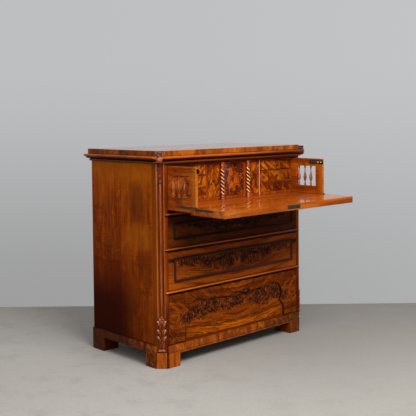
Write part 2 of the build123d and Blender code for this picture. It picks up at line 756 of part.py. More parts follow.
# Fitment carcase: base, top, linings, uprights and thin shelves
row_count = 3
row_height = (fitment_top_low - fitment_base_top - shelf_thickness * (row_count - 1)) / row_count
carcase = [
    block(-inside_half, inside_half, fitment_front_y, fitment_back_y, writing_height, fitment_base_top),
    block(-inside_half, inside_half, fitment_front_y, fitment_back_y, fitment_top_low, secretaire_high),
]
divider_round = (divider_far - divider_near) / 3
divider = block(divider_near, divider_far, fitment_front_y, fitment_back_y, fitment_base_top, fitment_top_low)
divider_edges = divider.edges().filter_by(Axis.Z).group_by(Axis.Y)[0]
divider = divider.fillet(divider_round, divider_edges)
upright = block(upright_near, upright_far, fitment_front_y, fitment_back_y, fitment_base_top, fitment_top_low)
pivot_x = -door_half + door_pivot_inset
pivot_y = fitment_front_y + door_pivot_depth
lining = block(lining_face, inside_half, fitment_front_y, fitment_back_y, fitment_base_top, fitment_top_low)
carcase += both(divider) + both(upright) + both(lining)
for row in range(1, row_count):
    shelf_low = fitment_base_top + row * row_height + (row - 1) * shelf_thickness
    shelf = block(divider_far, lining_face, fitment_front_y, fitment_back_y, shelf_low,
                  shelf_low + shelf_thickness)
    carcase += both(shelf)
pivot_bore_radius = pivot_radius + pivot_clearance
pivot_bore_low = Pos(pivot_x, pivot_y, fitment_base_top - pivot_length - small_gap) * (
    Solid.make_cylinder(pivot_bore_radius, pivot_length + small_gap + overrun))
pivot_bore_high = Pos(pivot_x, pivot_y, fitment_top_low - overrun) * (
    Solid.make_cylinder(pivot_bore_radius, pivot_length + small_gap + overrun))
carcase[0] = (carcase[0] - pivot_bore_low).solid()
carcase[1] = (carcase[1] - pivot_bore_high).solid()
save("fitment_carcase", *carcase)

# Columns in front of the uprights, both twisted the same way
foot_end_low = writing_height + column_foot_height
cap_end_high = secretaire_high - column_cap_height
twist_low = foot_end_low + column_foot_neck + column_ring_height * 2
twist_high = cap_end_high - column_cap_neck - column_ring_height * 2
twist_height = twist_high - twist_low
strands = (Pos(strand_offset, 0) * Circle(strand_radius)) + (Pos(-strand_offset, 0) * Circle(strand_radius))
column_y = fitment_front_y - column_depth / 2
turns_deg = -360 * twist_height / column_pitch
twist = Solid.extrude_linear_with_rotation(strands.face(), (0, 0, 0), (0, 0, twist_height), turns_deg)
columns = [Pos(x, column_y, twist_low) * twist for x in (column_x, -column_x)]
column_parts = [
    block(column_x - column_depth / 2, column_x + column_depth / 2, fitment_front_y - column_depth,
          fitment_front_y, writing_height, writing_height + column_foot_height),
    block(column_x - column_depth / 2, column_x + column_depth / 2, fitment_front_y - column_depth,
          fitment_front_y, secretaire_high - column_cap_height, secretaire_high),
]
ring_edge = column_ring_radius - column_ring_height / 2
for end_low, end_high in ((foot_end_low, twist_low), (twist_high, cap_end_high)):
    neck_low = end_low + column_ring_height
    neck_high = end_high - column_ring_height
    end_profile = [
        (0, end_low), (ring_edge, end_low), (column_ring_radius, (end_low + neck_low) / 2),
        (ring_edge, neck_low), (column_waist_radius, neck_low),
        (column_neck_radius, (neck_low + neck_high) / 2),
        (column_waist_radius, neck_high), (ring_edge, neck_high),
        (column_ring_radius, (neck_high + end_high) / 2), (ring_edge, end_high), (0, end_high),
    ]
    column_parts.append(lathe(end_profile, Pos(column_x, column_y, 0)))
for piece in column_parts:
    columns += both(piece)
save("twist_columns", *columns)


def knob(x, y, z):
    """A turned knob that stands out towards -Y from the point given."""
    radius_shares = (0.0, 0.95, 0.95, 0.45, 0.40, 0.75, 1.0, 0.92, 0.55, 0.0)
    reach_shares = (0.0, 0.0, 0.10, 0.18, 0.38, 0.50, 0.68, 0.86, 0.97, 1.0)
    outline = [(knob_radius * across, knob_projection * out) for across, out in zip(radius_shares, reach_shares)]
    return Pos(x, y, z) * (Rot(90, 0, 0) * lathe(outline))


def small_drawer(x0, x1, z0, z1):
    """Front, two sides, back and bottom of a small drawer between two walls and two shelves."""
    left = x0 + small_gap
    right = x1 - small_gap
    low = z0 + slide_gap
    high = z1 - small_gap
    y0 = fitment_front_y
    y1 = fitment_front_y + small_length
    inner = y0 + small_front_thickness
    rear = y1 - small_side_thickness
    floor_z = low + small_bottom_raise
    return [
        block(left, right, y0, inner, low, high),
        block(left, left + small_side_thickness, inner, y1, low, high),
        block(right - small_side_thickness, right, inner, y1, low, high),
        block(left + small_side_thickness, right - small_side_thickness, rear, y1, low, high),
        block(left + small_side_thickness, right - small_side_thickness, inner, rear,
              floor_z, floor_z + small_bottom_thickness),
    ]


row_names = ("bottom", "middle", "top")
for row in range(row_count):
    row_low = fitment_base_top + row * (row_height + shelf_thickness)
    row_high = row_low + row_height
    pieces = small_drawer(divider_far, lining_face, row_low, row_high)
    handle = knob((divider_far + lining_face) / 2, fitment_front_y, (row_low + row_high) / 2)
    save("small_drawer_right_" + row_names[row], *pieces)
    save("small_knob_right_" + row_names[row], handle)
    save("small_drawer_left_" + row_names[row], *[other_side(piece) for piece in pieces])
    save("small_knob_left_" + row_names[row], other_side(handle))
narrow = small_drawer(upright_far, divider_near, fitment_base_top, fitment_top_low)
narrow_knob = knob((upright_far + divider_near) / 2, fitment_front_y, (fitment_base_top + fitment_top_low) / 2)
save("narrow_drawer_right", *narrow)
save("narrow_knob_right", narrow_knob)
save("narrow_drawer_left", *[other_side(piece) for piece in narrow])
save("narrow_knob_left", other_side(narrow_knob))

# Centre door: a concave board on two pivots
door_low = fitment_base_top + small_gap
door_high = fitment_top_low - small_gap


def door_slice(front_offset, back_offset):
    """The hollow board of the door between two offsets behind its front face."""
    near = fitment_front_y + front_offset
    far = fitment_front_y + back_offset
    outline = [
        ThreePointArc((-door_half, near), (0, near + door_hollow), (door_half, near)),
        Line((door_half, near), (door_half, far)),
        ThreePointArc((door_half, far), (0, far + door_hollow), (-door_half, far)),
        Line((-door_half, far), (-door_half, near)),
    ]
    return Pos(0, 0, door_low) * extrude(make_face(outline), door_high - door_low).solid()


door = door_slice(0, door_thickness)
pivot_low = Pos(pivot_x, pivot_y, door_low - pivot_length) * (
    Solid.make_cylinder(pivot_radius, pivot_length * 2))
pivot_high = Pos(pivot_x, pivot_y, door_high - pivot_length) * (
    Solid.make_cylinder(pivot_radius, pivot_length * 2))
save("centre_door", (door - pivot_low - pivot_high).solid())
door_mid_z = (door_low + door_high) / 2
plate_room = block(-plate_width / 2, plate_width / 2, 0, fitment_back_y,
                   door_mid_z - plate_height / 2, door_mid_z + plate_height / 2)
door_plate = (door_slice(-plate_thickness, 0) & plate_room).solid()
save("centre_door_fittings", pivot_low, pivot_high, door_plate)
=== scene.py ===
import math

import bmesh
import bpy
from mathutils import Matrix, Vector


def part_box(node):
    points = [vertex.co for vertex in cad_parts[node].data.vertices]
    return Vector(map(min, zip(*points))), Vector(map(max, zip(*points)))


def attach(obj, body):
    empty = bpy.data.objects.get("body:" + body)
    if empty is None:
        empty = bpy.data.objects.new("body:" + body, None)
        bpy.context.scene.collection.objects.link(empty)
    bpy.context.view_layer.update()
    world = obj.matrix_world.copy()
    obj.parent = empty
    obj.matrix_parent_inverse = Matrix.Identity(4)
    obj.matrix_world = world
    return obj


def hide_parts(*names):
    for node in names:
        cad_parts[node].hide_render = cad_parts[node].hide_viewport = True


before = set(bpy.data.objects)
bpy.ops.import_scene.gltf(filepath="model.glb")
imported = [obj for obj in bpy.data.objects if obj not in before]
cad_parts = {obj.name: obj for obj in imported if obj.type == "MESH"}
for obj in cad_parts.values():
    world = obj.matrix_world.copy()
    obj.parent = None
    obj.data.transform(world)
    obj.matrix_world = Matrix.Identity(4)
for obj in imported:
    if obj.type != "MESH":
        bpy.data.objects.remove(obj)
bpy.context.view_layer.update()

MM = 0.001

# Camera: the photograph's size, focal length and middle row in pixels, then place and degrees
PICTURE_SIZE = 416
FOCAL_PIXELS = 805.8
AXIS_ROW = 149.4547
SENSOR = 36
CAMERA_PLACE = (-2.945, -2.9933, 1.1989)
CAMERA_TURN = 43.4343
CAMERA_TIP = 2.3257
CAMERA_ROLL = -0.559

# Room: the wall's distance from the camera, and how far floor and wall reach from their middles
WALL_DISTANCE = 5.09
FLOOR_REACH = 9.0
WALL_REACH = 6.0

# Soft light: strength near the horizon and overhead, then the window's strength and direction
WORLD_LOW = 0.12
WORLD_HIGH = 0.58
WINDOW_GLOW = 4.0
WINDOW_WAY = (-0.93, -0.27, 0.25)

# A twisted column's strand: length of one turn, radius, and distance from the column's axis
STRAND_PITCH = 38 * MM
STRAND_RADIUS = 5.3 * MM
STRAND_THROW = 4.7 * MM

# Edges that turn more than this stay sharp
SHARP_ANGLE = math.radians(38)

# The case's front and right side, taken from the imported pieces, and its canted corner
front_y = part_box("corner_posts")[0].y
half_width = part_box("side_right")[1].x
cant = 30 * MM
cant_middle = Vector((half_width - cant / 2, front_y + cant / 2, 0))


def at(x, y, z):
    return Matrix.Translation((x, y, z))


def angled(degrees, axis):
    return Matrix.Rotation(math.radians(degrees), 4, axis)


def tone(red, green, blue):
    """A colour written as it shows on a screen, 0 to 255, made linear."""
    linear = []
    for part in (red, green, blue):
        share = part / 255
        linear.append(share / 12.92 if share <= 0.04045 else ((share + 0.055) / 1.055) ** 2.4)
    return (*linear, 1)


class Amount:
    """A value that varies over a surface. Sums on it add Math nodes."""

    def __init__(self, nodes, socket):
        self.nodes = nodes
        self.socket = socket

    def __add__(self, other):
        return self.nodes.math("ADD", self, other)

    def __sub__(self, other):
        return self.nodes.math("SUBTRACT", self, other)

    def __mul__(self, other):
        return self.nodes.math("MULTIPLY", self, other)

    def __rsub__(self, other):
        return self.nodes.math("SUBTRACT", other, self)

    def __abs__(self):
        return self.nodes.math("ABSOLUTE", self)

    __radd__ = __add__
    __rmul__ = __mul__

    def smooth(self, low, high):
        """0 below low and 1 above high, with a soft step between them."""
        return self.nodes.node("MapRange", {"interpolation_type": "SMOOTHSTEP"}, {
            "Value": self, "From Min": low, "From Max": high})

    def band(self, middle, half, soft):
        """1 within half of the middle, falling to 0 over soft."""
        return 1 - abs(self - middle).smooth(half, half + soft)


class Nodes:
    """A tree of shader nodes, for a material or for the world."""

    def __init__(self, tree):
        self.tree = tree

    def node(self, kind, settings=None, inputs=None, output=0):
        """Add any node: its settings first, then the values or links of its sockets."""
        made = self.tree.nodes.new("ShaderNode" + kind)
        for key, value in (settings or {}).items():
            if key == "stops":
                ramp = made.color_ramp
                while len(ramp.elements) < len(value):
                    ramp.elements.new(1)
                for element, (position, colour) in zip(ramp.elements, value):
                    element.position = position
                    element.color = tone(*colour)
            else:
                setattr(made, key, value)
        self.fill(made, inputs or {})
        return Amount(self, made.outputs[output])

    def fill(self, made, inputs):
        """Give a node's sockets their values or links."""
        for key, value in inputs.items():
            if isinstance(value, Amount):
                self.tree.links.new(value.socket, made.inputs[key])
            else:
                made.inputs[key].default_value = value

    def math(self, operation, *values):
        return self.node("Math", {"operation": operation}, dict(enumerate(values)))


class Finish(Nodes):
    """One procedural material, built around its Principled shader."""

    def __init__(self, name):
        self.material = bpy.data.materials.new(name)
        self.material.use_nodes = True
        super().__init__(self.material.node_tree)
        self.shader = self.tree.nodes["Principled BSDF"]
        self.place = self.node("TexCoord", output="Object")
        self.x, self.y, self.z = (self.node("SeparateXYZ", inputs={0: self.place}, output=axis)
                                  for axis in "XYZ")
        self.spread = self.place

    def vector(self, x, y, z):
        return self.node("CombineXYZ", inputs={"X": x, "Y": y, "Z": z})

    def spot(self, stretch=(1, 1, 1), shift=(0, 0, 0), turn=(0, 0, 0), start=None):
        """Coordinates shifted, turned and stretched."""
        moved = self.node("Mapping", inputs={
            "Vector": start or self.place, "Location": shift,
            "Rotation": tuple(math.radians(angle) for angle in turn)})
        return self.node("VectorMath", {"operation": "MULTIPLY"}, {0: moved, 1: stretch})

    def noise(self, scale, detail=2, rough=0.5, warp=0, spot=None):
        """Noise on the given coordinates, or on the finish's own, stretched by three numbers."""
        if isinstance(spot, tuple):
            spot = self.spot(spot, start=self.spread)
        return self.node("TexNoise", inputs={"Vector": spot or self.spread, "Scale": scale, "Detail": detail,
                                             "Roughness": rough, "Distortion": warp})

    def mix(self, share, first, second):
        """Blend two colours, each a varying one or the three numbers of a tone."""
        inputs = {0: share, 6: first, 7: second}
        for key in (6, 7):
            if isinstance(inputs[key], tuple):
                inputs[key] = tone(*inputs[key])
        return self.node("Mix", {"data_type": "RGBA"}, inputs, output=2)

    def feed(self, **inputs):
        """Set or link sockets of the shader. A name's underscores stand for spaces."""
        self.fill(self.shader, {key.replace("_", " "): value for key, value in inputs.items()})

    def rounded(self, radius):
        """The normal of the surface with its edges rounded."""
        return self.node("Bevel", {"samples": 4}, {"Radius": radius})

    def edges(self, radius):
        """1 on rounded-over edges and 0 on flat faces."""
        true = self.node("NewGeometry", output="True Normal")
        facing = self.node("VectorMath", {"operation": "DOT_PRODUCT"}, {0: self.rounded(radius), 1: true},
                           output="Value")
        return facing.smooth(0.97, 0.72)

    def crevices(self, reach):
        """1 in grooves, gaps and inner corners and 0 on open faces."""
        open_share = self.node("AmbientOcclusion", {"samples": 6}, {"Distance": reach}, output="AO")
        return open_share.smooth(0.74, 0.34)

    def relief(self, height, depth, radius):
        """Bump from a height of 0 to 1 that stands for depth metres, with rounded edges."""
        self.feed(Normal=self.node("Bump", inputs={
            "Height": height, "Distance": depth, "Strength": 1, "Normal": self.rounded(radius)}))


GRAIN_STRETCH = {"x": (0.07, 1, 1), "y": (1, 0.07, 1), "z": (1, 1, 0.07)}
RIPPLE_STRETCH = {"x": (1, 0.12, 0.12), "y": (0.12, 1, 0.12), "z": (0.12, 0.12, 1)}


class Wood(Finish):
    """Polished wood with its long grain along x, y or z.

    matched makes a book-matched pair about x = 0 whose grain climbs by that slope away from the seam.
    """

    def __init__(self, name, grain, seed, turn=(0, 0, 0), bands=16, streaks=85, wander=0.5, matched=None):
        super().__init__(name)
        if matched:
            self.place = self.vector(abs(self.x), self.y, self.z - abs(self.x) * matched)
        shift = (seed * 0.731, seed * 0.427, seed * 0.589)
        self.along = self.spot(GRAIN_STRETCH[grain], shift, turn)
        self.across = self.spot(RIPPLE_STRETCH[grain], shift, turn)
        self.spread = self.spot((1, 1, 1), shift, turn)
        self.bands = self.noise(bands, 3, 0.55, wander, self.along)
        self.streaks = self.noise(streaks, 3, 0.6, wander, self.along)
        self.lines = self.noise(streaks * 5, 2, 0.6, 0.2, self.along)
        self.pores = self.noise(1400, 1, spot=self.spot(start=self.along)).smooth(0.6, 0.72)
        self.clouds = self.noise(4, 3, 0.55, 0.4)

    def stain(self, dark, middle, light, contrast=1, threads=0.35):
        """Base colour from the grain: dark, middle and light tones and thin dark threads."""
        grain = self.bands * 0.48 + self.streaks * 0.34 + self.lines * 0.18
        grain = (grain - 0.5) * contrast + 0.5
        self.colour = self.node("ValToRGB", {"stops": ((0.36, dark), (0.5, middle), (0.64, light))},
                                {"Fac": grain})
        thread = self.bands.band(0.47, 0.002, 0.016) + self.streaks.band(0.56, 0.004, 0.03) * 0.5
        self.tint(thread * self.clouds.smooth(0.35, 0.6) * threads, (50, 16, 2))

    def tint(self, share, colour):
        self.colour = self.mix(share, self.colour, colour)

    def fade(self, value, *steps):
        """Tint where a value passes from low to high, once for each (low, high, share, colour)."""
        for low, high, share, colour in steps:
            self.tint(value.smooth(low, high) * share, colour)

    def above(self, level):
        """Height above a level, in millimetres."""
        return (self.z - level) * (1 / MM)

    def ripple(self, strength, scale=60):
        """Faint cross bars, lighter and darker, as in curly wood."""
        bars = self.noise(scale, 2, 0.6, 2, self.across)
        patch = self.clouds.smooth(0.35, 0.65) * strength
        self.fade(bars, (0.5, 0.75, patch, (200, 104, 10)), (0.5, 0.28, patch * 1.4, (66, 20, 2)))

    def polish(self, gloss=0.34, coat=0.22, coat_gloss=0.1, depth=0.00008, radius=0.0008, wear=0.35,
               worn=(176, 88, 18), shine=0.12, hollow_shade=0.85):
        """Rub the edges, darken the pores, paint shade into the hollows and lay the varnish."""
        rubbed = self.edges(radius * 2) * self.noise(30, 3).smooth(0.35, 0.65)
        self.tint(rubbed * wear, worn)
        self.tint(self.pores * 0.45, (34, 12, 4))
        # Painted shade: hollows, gaps and inner corners darkened by how enclosed they are.
        if hollow_shade:
            self.tint(self.crevices(8 * MM) * hollow_shade, (20, 7, 3))
        haze = self.noise(11, 4, 0.6)
        self.feed(Base_Color=self.colour, Roughness=gloss + (haze - 0.5) * 0.18 + self.pores * 0.15,
                  Specular_IOR_Level=shine, Coat_Weight=coat, Coat_Roughness=coat_gloss, Coat_IOR=1.5)
        waves = self.noise(9, 2) * 0.6 + self.streaks * 0.3
        self.relief(waves - self.pores * 0.5, depth, radius)
        return self


def plain_veneer(name, seed, dark, middle, light, shade=0, **varnish):
    """Veneer along x without a pattern of its own, or shaded towards its right end."""
    wood = Wood(name, "x", seed)
    wood.stain(dark, middle, light)
    wood.ripple(0.12)
    if shade:
        wood.fade(wood.x, (0.12, 0.42, shade, (96, 32, 4)))
    return wood.polish(**varnish)


def side_veneer(name, seed):
    """Upright grain, golden at the top and dark red-brown towards the foot at the back: partly the veneer's
    own tone, partly painted light, shade and reflection.
    """
    wood = Wood(name, "z", seed, bands=12, streaks=70)
    wood.stain((122, 44, 2), (156, 66, 3), (184, 88, 6), 1.5, 0.5)
    wood.ripple(0.34, 64)
    blotch = wood.noise(26, 4, 0.62, 0.6, (1, 1, 0.45))
    wood.fade(blotch, (0.5, 0.66, 0.45, (98, 36, 3)), (0.46, 0.34, 0.3, (202, 104, 8)))
    height = wood.z + (wood.clouds - 0.5) * 0.16
    inwards = wood.y - front_y + (wood.noise(12, 3) - 0.5) * 0.05
    back = inwards.smooth(0.1, 0.34)
    # Lighter at the top: the veneer's golden tone, with painted light against the cornice's shadow.
    wood.fade(height, (0.78, 0.98, 0.5, (206, 108, 5)))
    # Soft patches, the first a painted dark reflection: middle and half size from the front, then from the
    # floor
    for y, half_y, z, half_z, share, colour in ((0.175, 0.085, 0.78, 0.14, 0.6, (90, 42, 12)),
                                                (0.16, 0.15, 0.62, 0.09, 0.35, (196, 106, 20)),
                                                (0.1, 0.07, 0.47, 0.12, 0.45, (86, 34, 6))):
        across = (inwards - y) * (1 / half_y)
        up = (wood.z - z) * (1 / half_z)
        wood.fade(across * across + up * up, (1, 0.1, share, colour))
    # Darker towards the foot and most at the back: partly the veneer's own tone, partly painted shade and a
    # painted dark reflection.
    wood.fade(height, (0.84, 0.66, 0.14, (84, 26, 2)),
              (0.64, 0.38, 0.14 + back * 0.58, (84, 20, 2)),
              (0.46, 0.24, 0.2 + back * 0.7, (46, 9, 2)))
    wood.fade(inwards, (0.07, 0.045, 0.25, (196, 92, 14)))
    return wood.polish(gloss=0.42, coat=0.03, coat_gloss=0.2, shine=0.03)


def post_veneer(name, seed):
    """Front stiles with a band of painted shade, the canted field with painted shade in its recess, behind
    the leaves and under their ledge, and the strip that carries the side's veneer on.
    """
    wood = Wood(name, "z", seed)
    wood.stain((84, 26, 3), (118, 42, 4), (150, 62, 7), 1.6)
    inwards = wood.y - front_y
    field = inwards.band(cant / 2, cant / 2 - 2 * MM, 1 * MM)
    # Painted shade in the recessed field below the capital.
    wood.tint(field * wood.z.smooth(0.925, 0.905) * 0.25, (60, 24, 8))
    low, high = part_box("leaf_carvings")
    # Painted shade on the field behind the leaves, and a painted shadow under their ledge.
    wood.fade(wood.z, (high.z, high.z - 12 * MM, field * 0.6, (46, 16, 7)),
              (low.z + 7 * MM, low.z + 5.5 * MM, field * 0.95, (10, 4, 2)))
    strip = inwards.smooth(cant - 1 * MM, cant)
    wood.tint(strip * 0.85, (146, 66, 5))
    wood.tint(strip * wood.z.smooth(0.36, 0.2) * 0.45, (70, 24, 3))
    front = inwards.smooth(1 * MM, 0.4 * MM)
    wood.tint(front * 0.35, (146, 60, 6))
    # Painted shade: a darker band across the stiles at about 0.8 m.
    wood.tint(front * wood.z.band(0.8, 0.03, 0.06) * 0.45, (84, 24, 3))
    wood.tint(front * wood.z.smooth(0.36, 0.25) * 0.8, (64, 16, 3))
    return wood.polish(gloss=0.4, coat=0.02, shine=0.02, hollow_shade=0.45)


def frame_moulding(name, seed, node, fall_shadow):
    """Raised moulding of a panel: ebonised along its crest and rubbed back to the veneer inside, and on the
    upper drawer darkened by painted shadow of the fall.
    """
    low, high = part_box(node)
    wood = Wood(name, "x", seed)
    wood.stain((42, 30, 30), (58, 43, 44), (76, 58, 60))
    from_end = wood.math("MINIMUM", wood.z - low.z, high.z - wood.z)
    from_edge = wood.math("MINIMUM", high.x - abs(wood.x), from_end)
    wood.fade(from_edge, (7.2 * MM, 9 * MM, 0.85, (104, 46, 12)))
    wood.fade(wood.above(high.z), (-12, -8, 0.6, (58, 26, 12)))
    # Random dark patches, and painted shadow of the fall by its given share.
    wood.tint(wood.noise(14, 3) * 0.3 + fall_shadow * 0.7, (22, 9, 4))
    return wood.polish(wear=0.2, coat=0.1, shine=0.05)


def rail_veneer(name, seed):
    """Rounded rails between the drawers, with painted highlights along their upper sides and painted shade
    on their undersides.
    """
    wood = Wood(name, "x", seed)
    wood.stain((104, 34, 4), (132, 48, 5), (160, 68, 8), 1.2)
    for centre, share in zip(rail_centres(), (0.85, 0.4, 0.15)):
        # Painted highlight along the upper side of each rail, strongest on the lowest rail and towards the
        # left.
        crest = wood.above(centre).band(2, 2.2, 2.4) * (wood.streaks + 0.4)
        wood.tint(crest * (wood.x.smooth(0.4, 0) * 0.7 + 0.3) * share, (228, 120, 14))
        # Painted shade on the underside of the rail.
        wood.tint(wood.above(centre).band(-6, 4, 1.6) * 0.97, (8, 3, 2))
    return wood.polish(coat=0.3, shine=0.15, wear=0, hollow_shade=0)


def rail_centres():
    """Heights of the middles of the three rounded rails, from the lowest."""
    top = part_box("drawer_rails")[1].z
    return top - 381 * MM, top - 175.5 * MM, top - 7 * MM


def plinth_veneer(name, seed, node, bright):
    """Crossbanded veneer low on the case, golden in front and dark along the sides, with painted shade in
    the grooves by the canted corners, and on the plinth painted shade above the bead and under the drawer
    and a painted highlight on the bead.
    """
    wood = Wood(name, "z", seed, bands=24, streaks=120)
    wood.stain((92, 34, 4), (132, 56, 5), (170, 82, 12), 1.2)
    knots = wood.noise(40, 4, 0.62, 1, (1, 1, 0.6))
    wood.fade(knots, (0.52, 0.66, 0.7, (52, 18, 5)), (0.47, 0.34, 0.7, (210, 116, 16)))
    wood.fade(wood.bands, (0.44, 0.36, 0.35, (60, 20, 4)))
    inwards = wood.y - front_y
    front = inwards.smooth(cant + 2 * MM, cant - 2 * MM)
    wood.tint(front * (wood.x.smooth(0.1, -0.42) * 0.7 + 0.3) * bright, (196, 94, 8))
    if node == "front_feet":
        streaks = wood.noise(110, 3, 0.6, 0.6, (1, 1, 0.12))
        wood.fade(streaks, (0.5, 0.62, 0.55, (74, 28, 4)))
        wood.fade(wood.x, (0, 0.3, front * 0.4, (58, 22, 6)))
    # Painted shade: a near-black line in the groove by each canted corner.
    groove = abs(wood.x).band(half_width - cant - 4 * MM, 3.4 * MM, 1.2 * MM)
    wood.tint(groove * front * 0.95, (16, 6, 3))
    wood.tint((1 - front) * (inwards.smooth(0.06, 0.34) * 0.55 + 0.25), (52, 18, 3))
    if node == "plinth_frame":
        low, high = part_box(node)
        height = wood.above(low.z)
        wood.fade(wood.x, (0.1, 0.42, front * 0.68, (52, 20, 6)),
                  (-0.34, -0.46, front * 0.22, (52, 20, 6)))
        # Painted shade above the bead, a painted highlight on the bead and painted shade under the drawer.
        wood.tint(height.band(10.5, 1, 1.2) * front * 0.8, (34, 12, 5))
        wood.fade(height, (9, 7, front * 0.4, (120, 62, 34)))
        wood.fade(wood.above(high.z), (-3, -0.5, 0.8, (34, 12, 5)))
    return wood.polish(coat=0.25)


def gallery_veneer(name, seed):
    """Gallery sides: warm even veneer with a painted sheen towards the front, pale gold on the front edges.
    """
    wood = Wood(name, "y", seed)
    wood.stain((126, 46, 4), (166, 72, 5), (198, 100, 10), 1.3)
    inwards = wood.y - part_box("gallery_side_left")[0].y
    patch = wood.noise(16, 4, 0.6, 0.6)
    wood.fade(patch, (0.5, 0.64, 0.5, (92, 32, 4)))
    # Painted sheen: golden towards the front.
    wood.fade(inwards, (34 * MM, 8 * MM, 0.45, (206, 118, 22)))
    edge = inwards.smooth(1.2 * MM, 0.4 * MM)
    wood.tint(edge * 0.4, (128, 66, 26))
    wood.fade(patch, (0.46, 0.6, edge * 0.55, (196, 120, 60)))
    return wood.polish(coat=0.3)


def banded_veneer(name, seed):
    """Short upright pieces of veneer laid side by side along the top's edges, each with its own tone."""
    piece_length = 0.105
    low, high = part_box("top_board")
    wood = Wood(name, "z", seed, bands=24, streaks=120)
    wood.stain((108, 48, 6), (150, 74, 10), (186, 100, 24), 1.3)
    run = wood.x + wood.y * 1.37 + wood.noise(3) * 0.02
    step = wood.math("FLOOR", run * (1 / piece_length))
    chance = wood.node("TexWhiteNoise", {"noise_dimensions": "1D"}, {"W": step + seed}, output="Value")
    wood.fade(chance, (0.55, 0.95, 0.35, (84, 32, 5)), (0.35, 0.05, 0.35, (206, 104, 20)))
    wood.fade(wood.noise(34, 3, 0.6, 1, (1, 1, 0.5)), (0.54, 0.66, 0.75, (66, 24, 6)))
    wood.fade(wood.x, (0, -0.4, 0.15, (84, 32, 5)))
    wood.fade(wood.above(low.z), (3, 1, 0.5, (90, 34, 8)))
    up_face = wood.above(high.z).smooth(-0.6, -0.1)
    wood.tint(up_face * 0.5, (132, 70, 36))
    flanks = across_cant(wood).smooth(24 * MM, 18 * MM) * (1 - up_face)
    wood.fade(wood.y - front_y, (cant, 0, flanks * 0.65, (36, 20, 16)))
    return wood.polish(gloss=0.3, coat=up_face * 0.85 + 0.15, coat_gloss=0.12, depth=0.00004)


def cornice_wood(name, seed):
    """Moulded wood of the cornice, with painted shade in its hollow and under its bead."""
    wood = Wood(name, "x", seed)
    wood.stain((112, 42, 5), (146, 62, 8), (176, 84, 14), 1.3)
    height = wood.above(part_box("cornice_moulding")[0].z)
    # Painted shade in the cove under the nose and under the bead.
    wood.tint(height.band(17, 4.8, 2) * 0.9, (18, 7, 4))
    wood.fade(height, (3.5, 1, 0.9, (18, 7, 4)), (13, 11, 0.6, (78, 40, 22)))
    wood.fade(wood.x, (0.05, -0.3, height.band(31, 2, 2.5) * 0.15, (200, 104, 20)),
              (-0.05, 0.45, 0.6, (74, 30, 12)))
    return wood.polish(coat=0.2, shine=0.12)


def flame_front(name, node, seed, shape, fall_shadow):
    """Book-matched crotch veneer of a long front: dark clusters on an orange field of climbing grain, with
    painted shadow under the rail above and along the foot, and on the upper drawer painted shadow of the
    fall.
    """
    low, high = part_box(node)
    wood = Wood(name, "x", seed, bands=26, streaks=120, wander=0.7, matched=0.1)
    wood.stain((92, 33, 3), (128, 51, 3), (164, 76, 6), 1.5, 0.8)
    side = abs(wood.x) * (1 / high.x)
    up = (wood.z - low.z) * (1 / (high.z - low.z))
    own = wood.node("TexCoord", output="Object")
    drift = wood.noise(7, 3, 0.6, spot=wood.spot((1, 1, 1), (seed, 0, 0), start=own)) - 0.5
    loose = wood.noise(24, 5, 0.66, 1, wood.spot((1, 1, 1.3), (0, 0, seed), start=own))
    here = wood.spot((1, 1, 1), (0, 0, seed), (0, 34, 0))
    fan = wood.noise(84, 4, 0.62, 0.9, wood.spot((0.13, 1, 1), start=here))
    big = wood.noise(15, 4, 0.6, 1.2, (1, 1, 1.2))
    blots = wood.noise(42, 5, 0.7, 1.2, wood.spot((1, 1, 1), (0, seed, 0)))
    feathers = wood.noise(150, 3, 0.65, 1, wood.spot((1, 1, 0.28), turn=(0, 18, 0), start=wood.spread))
    above, dark = shape(wood, side, up + drift * 0.34)
    panel_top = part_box(node.replace("front", "moulding"))[1].z
    dark = dark * (1 - wood.z.smooth(panel_top - 5 * MM, panel_top + 1 * MM) * 0.9)

    wood.fade(fan, (0.42, 0.6, above * 0.7, (70, 26, 4)), (0.44, 0.34, above * 0.45, (168, 80, 8)))
    weights = big * 0.3 + loose * 0.22 + blots * 0.22 + feathers * 0.14 + fan * 0.12
    mottle = (weights - 0.5) * 1.9 + 0.5 + dark * 0.23 - 0.15
    wood.fade(mottle, (0.45, 0.52, 0.85, (76, 30, 7)))
    wood.tint(mottle.band(0.45, 0.006, 0.02) * blots.smooth(0.42, 0.58) * 0.55, (192, 92, 8))
    wood.fade(mottle, (0.505, 0.575, 0.92, (48, 25, 17)), (0.57, 0.67, 0.8, (24, 13, 12)))
    sparks = wood.noise(150, 3, 0.68, 0.8, (1, 1, 0.5)).smooth(0.54, 0.66)
    wood.tint(sparks * dark.smooth(0.1, 0.6) * 0.75, (188, 88, 10))
    # Painted shadow of the fall over the upper drawer's front.
    if fall_shadow:
        wood.tint((1 - wood.x.smooth(-0.32, -0.44) * 0.2) * fall_shadow * (1 - dark * 0.2), (17, 6, 3))
        wood.tint(wood.x.smooth(-0.1, -0.34) * up.smooth(0.45, 0.85) * 0.6, (12, 4, 2))
    # Painted shadow: a near-black strip under the rail above and a dark line along the foot.
    wood.fade(wood.z, (high.z - 7.4 * MM, high.z - 5.2 * MM, 0.95, (8, 3, 2)),
              (low.z + 2.6 * MM, low.z + 1.2 * MM, 0.8, (14, 6, 3)))
    return wood.polish(coat=0.08, shine=0.05, wear=0.2)


def hanging_figure(wood, side, up):
    """Dark clusters that hang from the top of a front, deepest by the seam."""
    wood.fade(side, (0.62, 0.88, 0.45, (172, 80, 8)))
    low_ends = wood.x.smooth(-0.04, -0.34) + wood.x.smooth(0.1, 0.34) * 0.5
    low_ends = low_ends * up.smooth(0.62, 0.4)
    wood.tint(low_ends * wood.streaks.smooth(0.44, 0.54) * 0.55, (186, 90, 10))
    edge = 0.36 + side * side * 0.36 - side.band(0.28, 0.05, 0.12) * 0.12
    inside = up.smooth(0.86, 0.8) * 0.75 + 0.25
    dark = (up - edge).smooth(-0.1, 0.12) * inside
    return dark * 0.8 + side.smooth(0.55, 1) * 0.15, dark


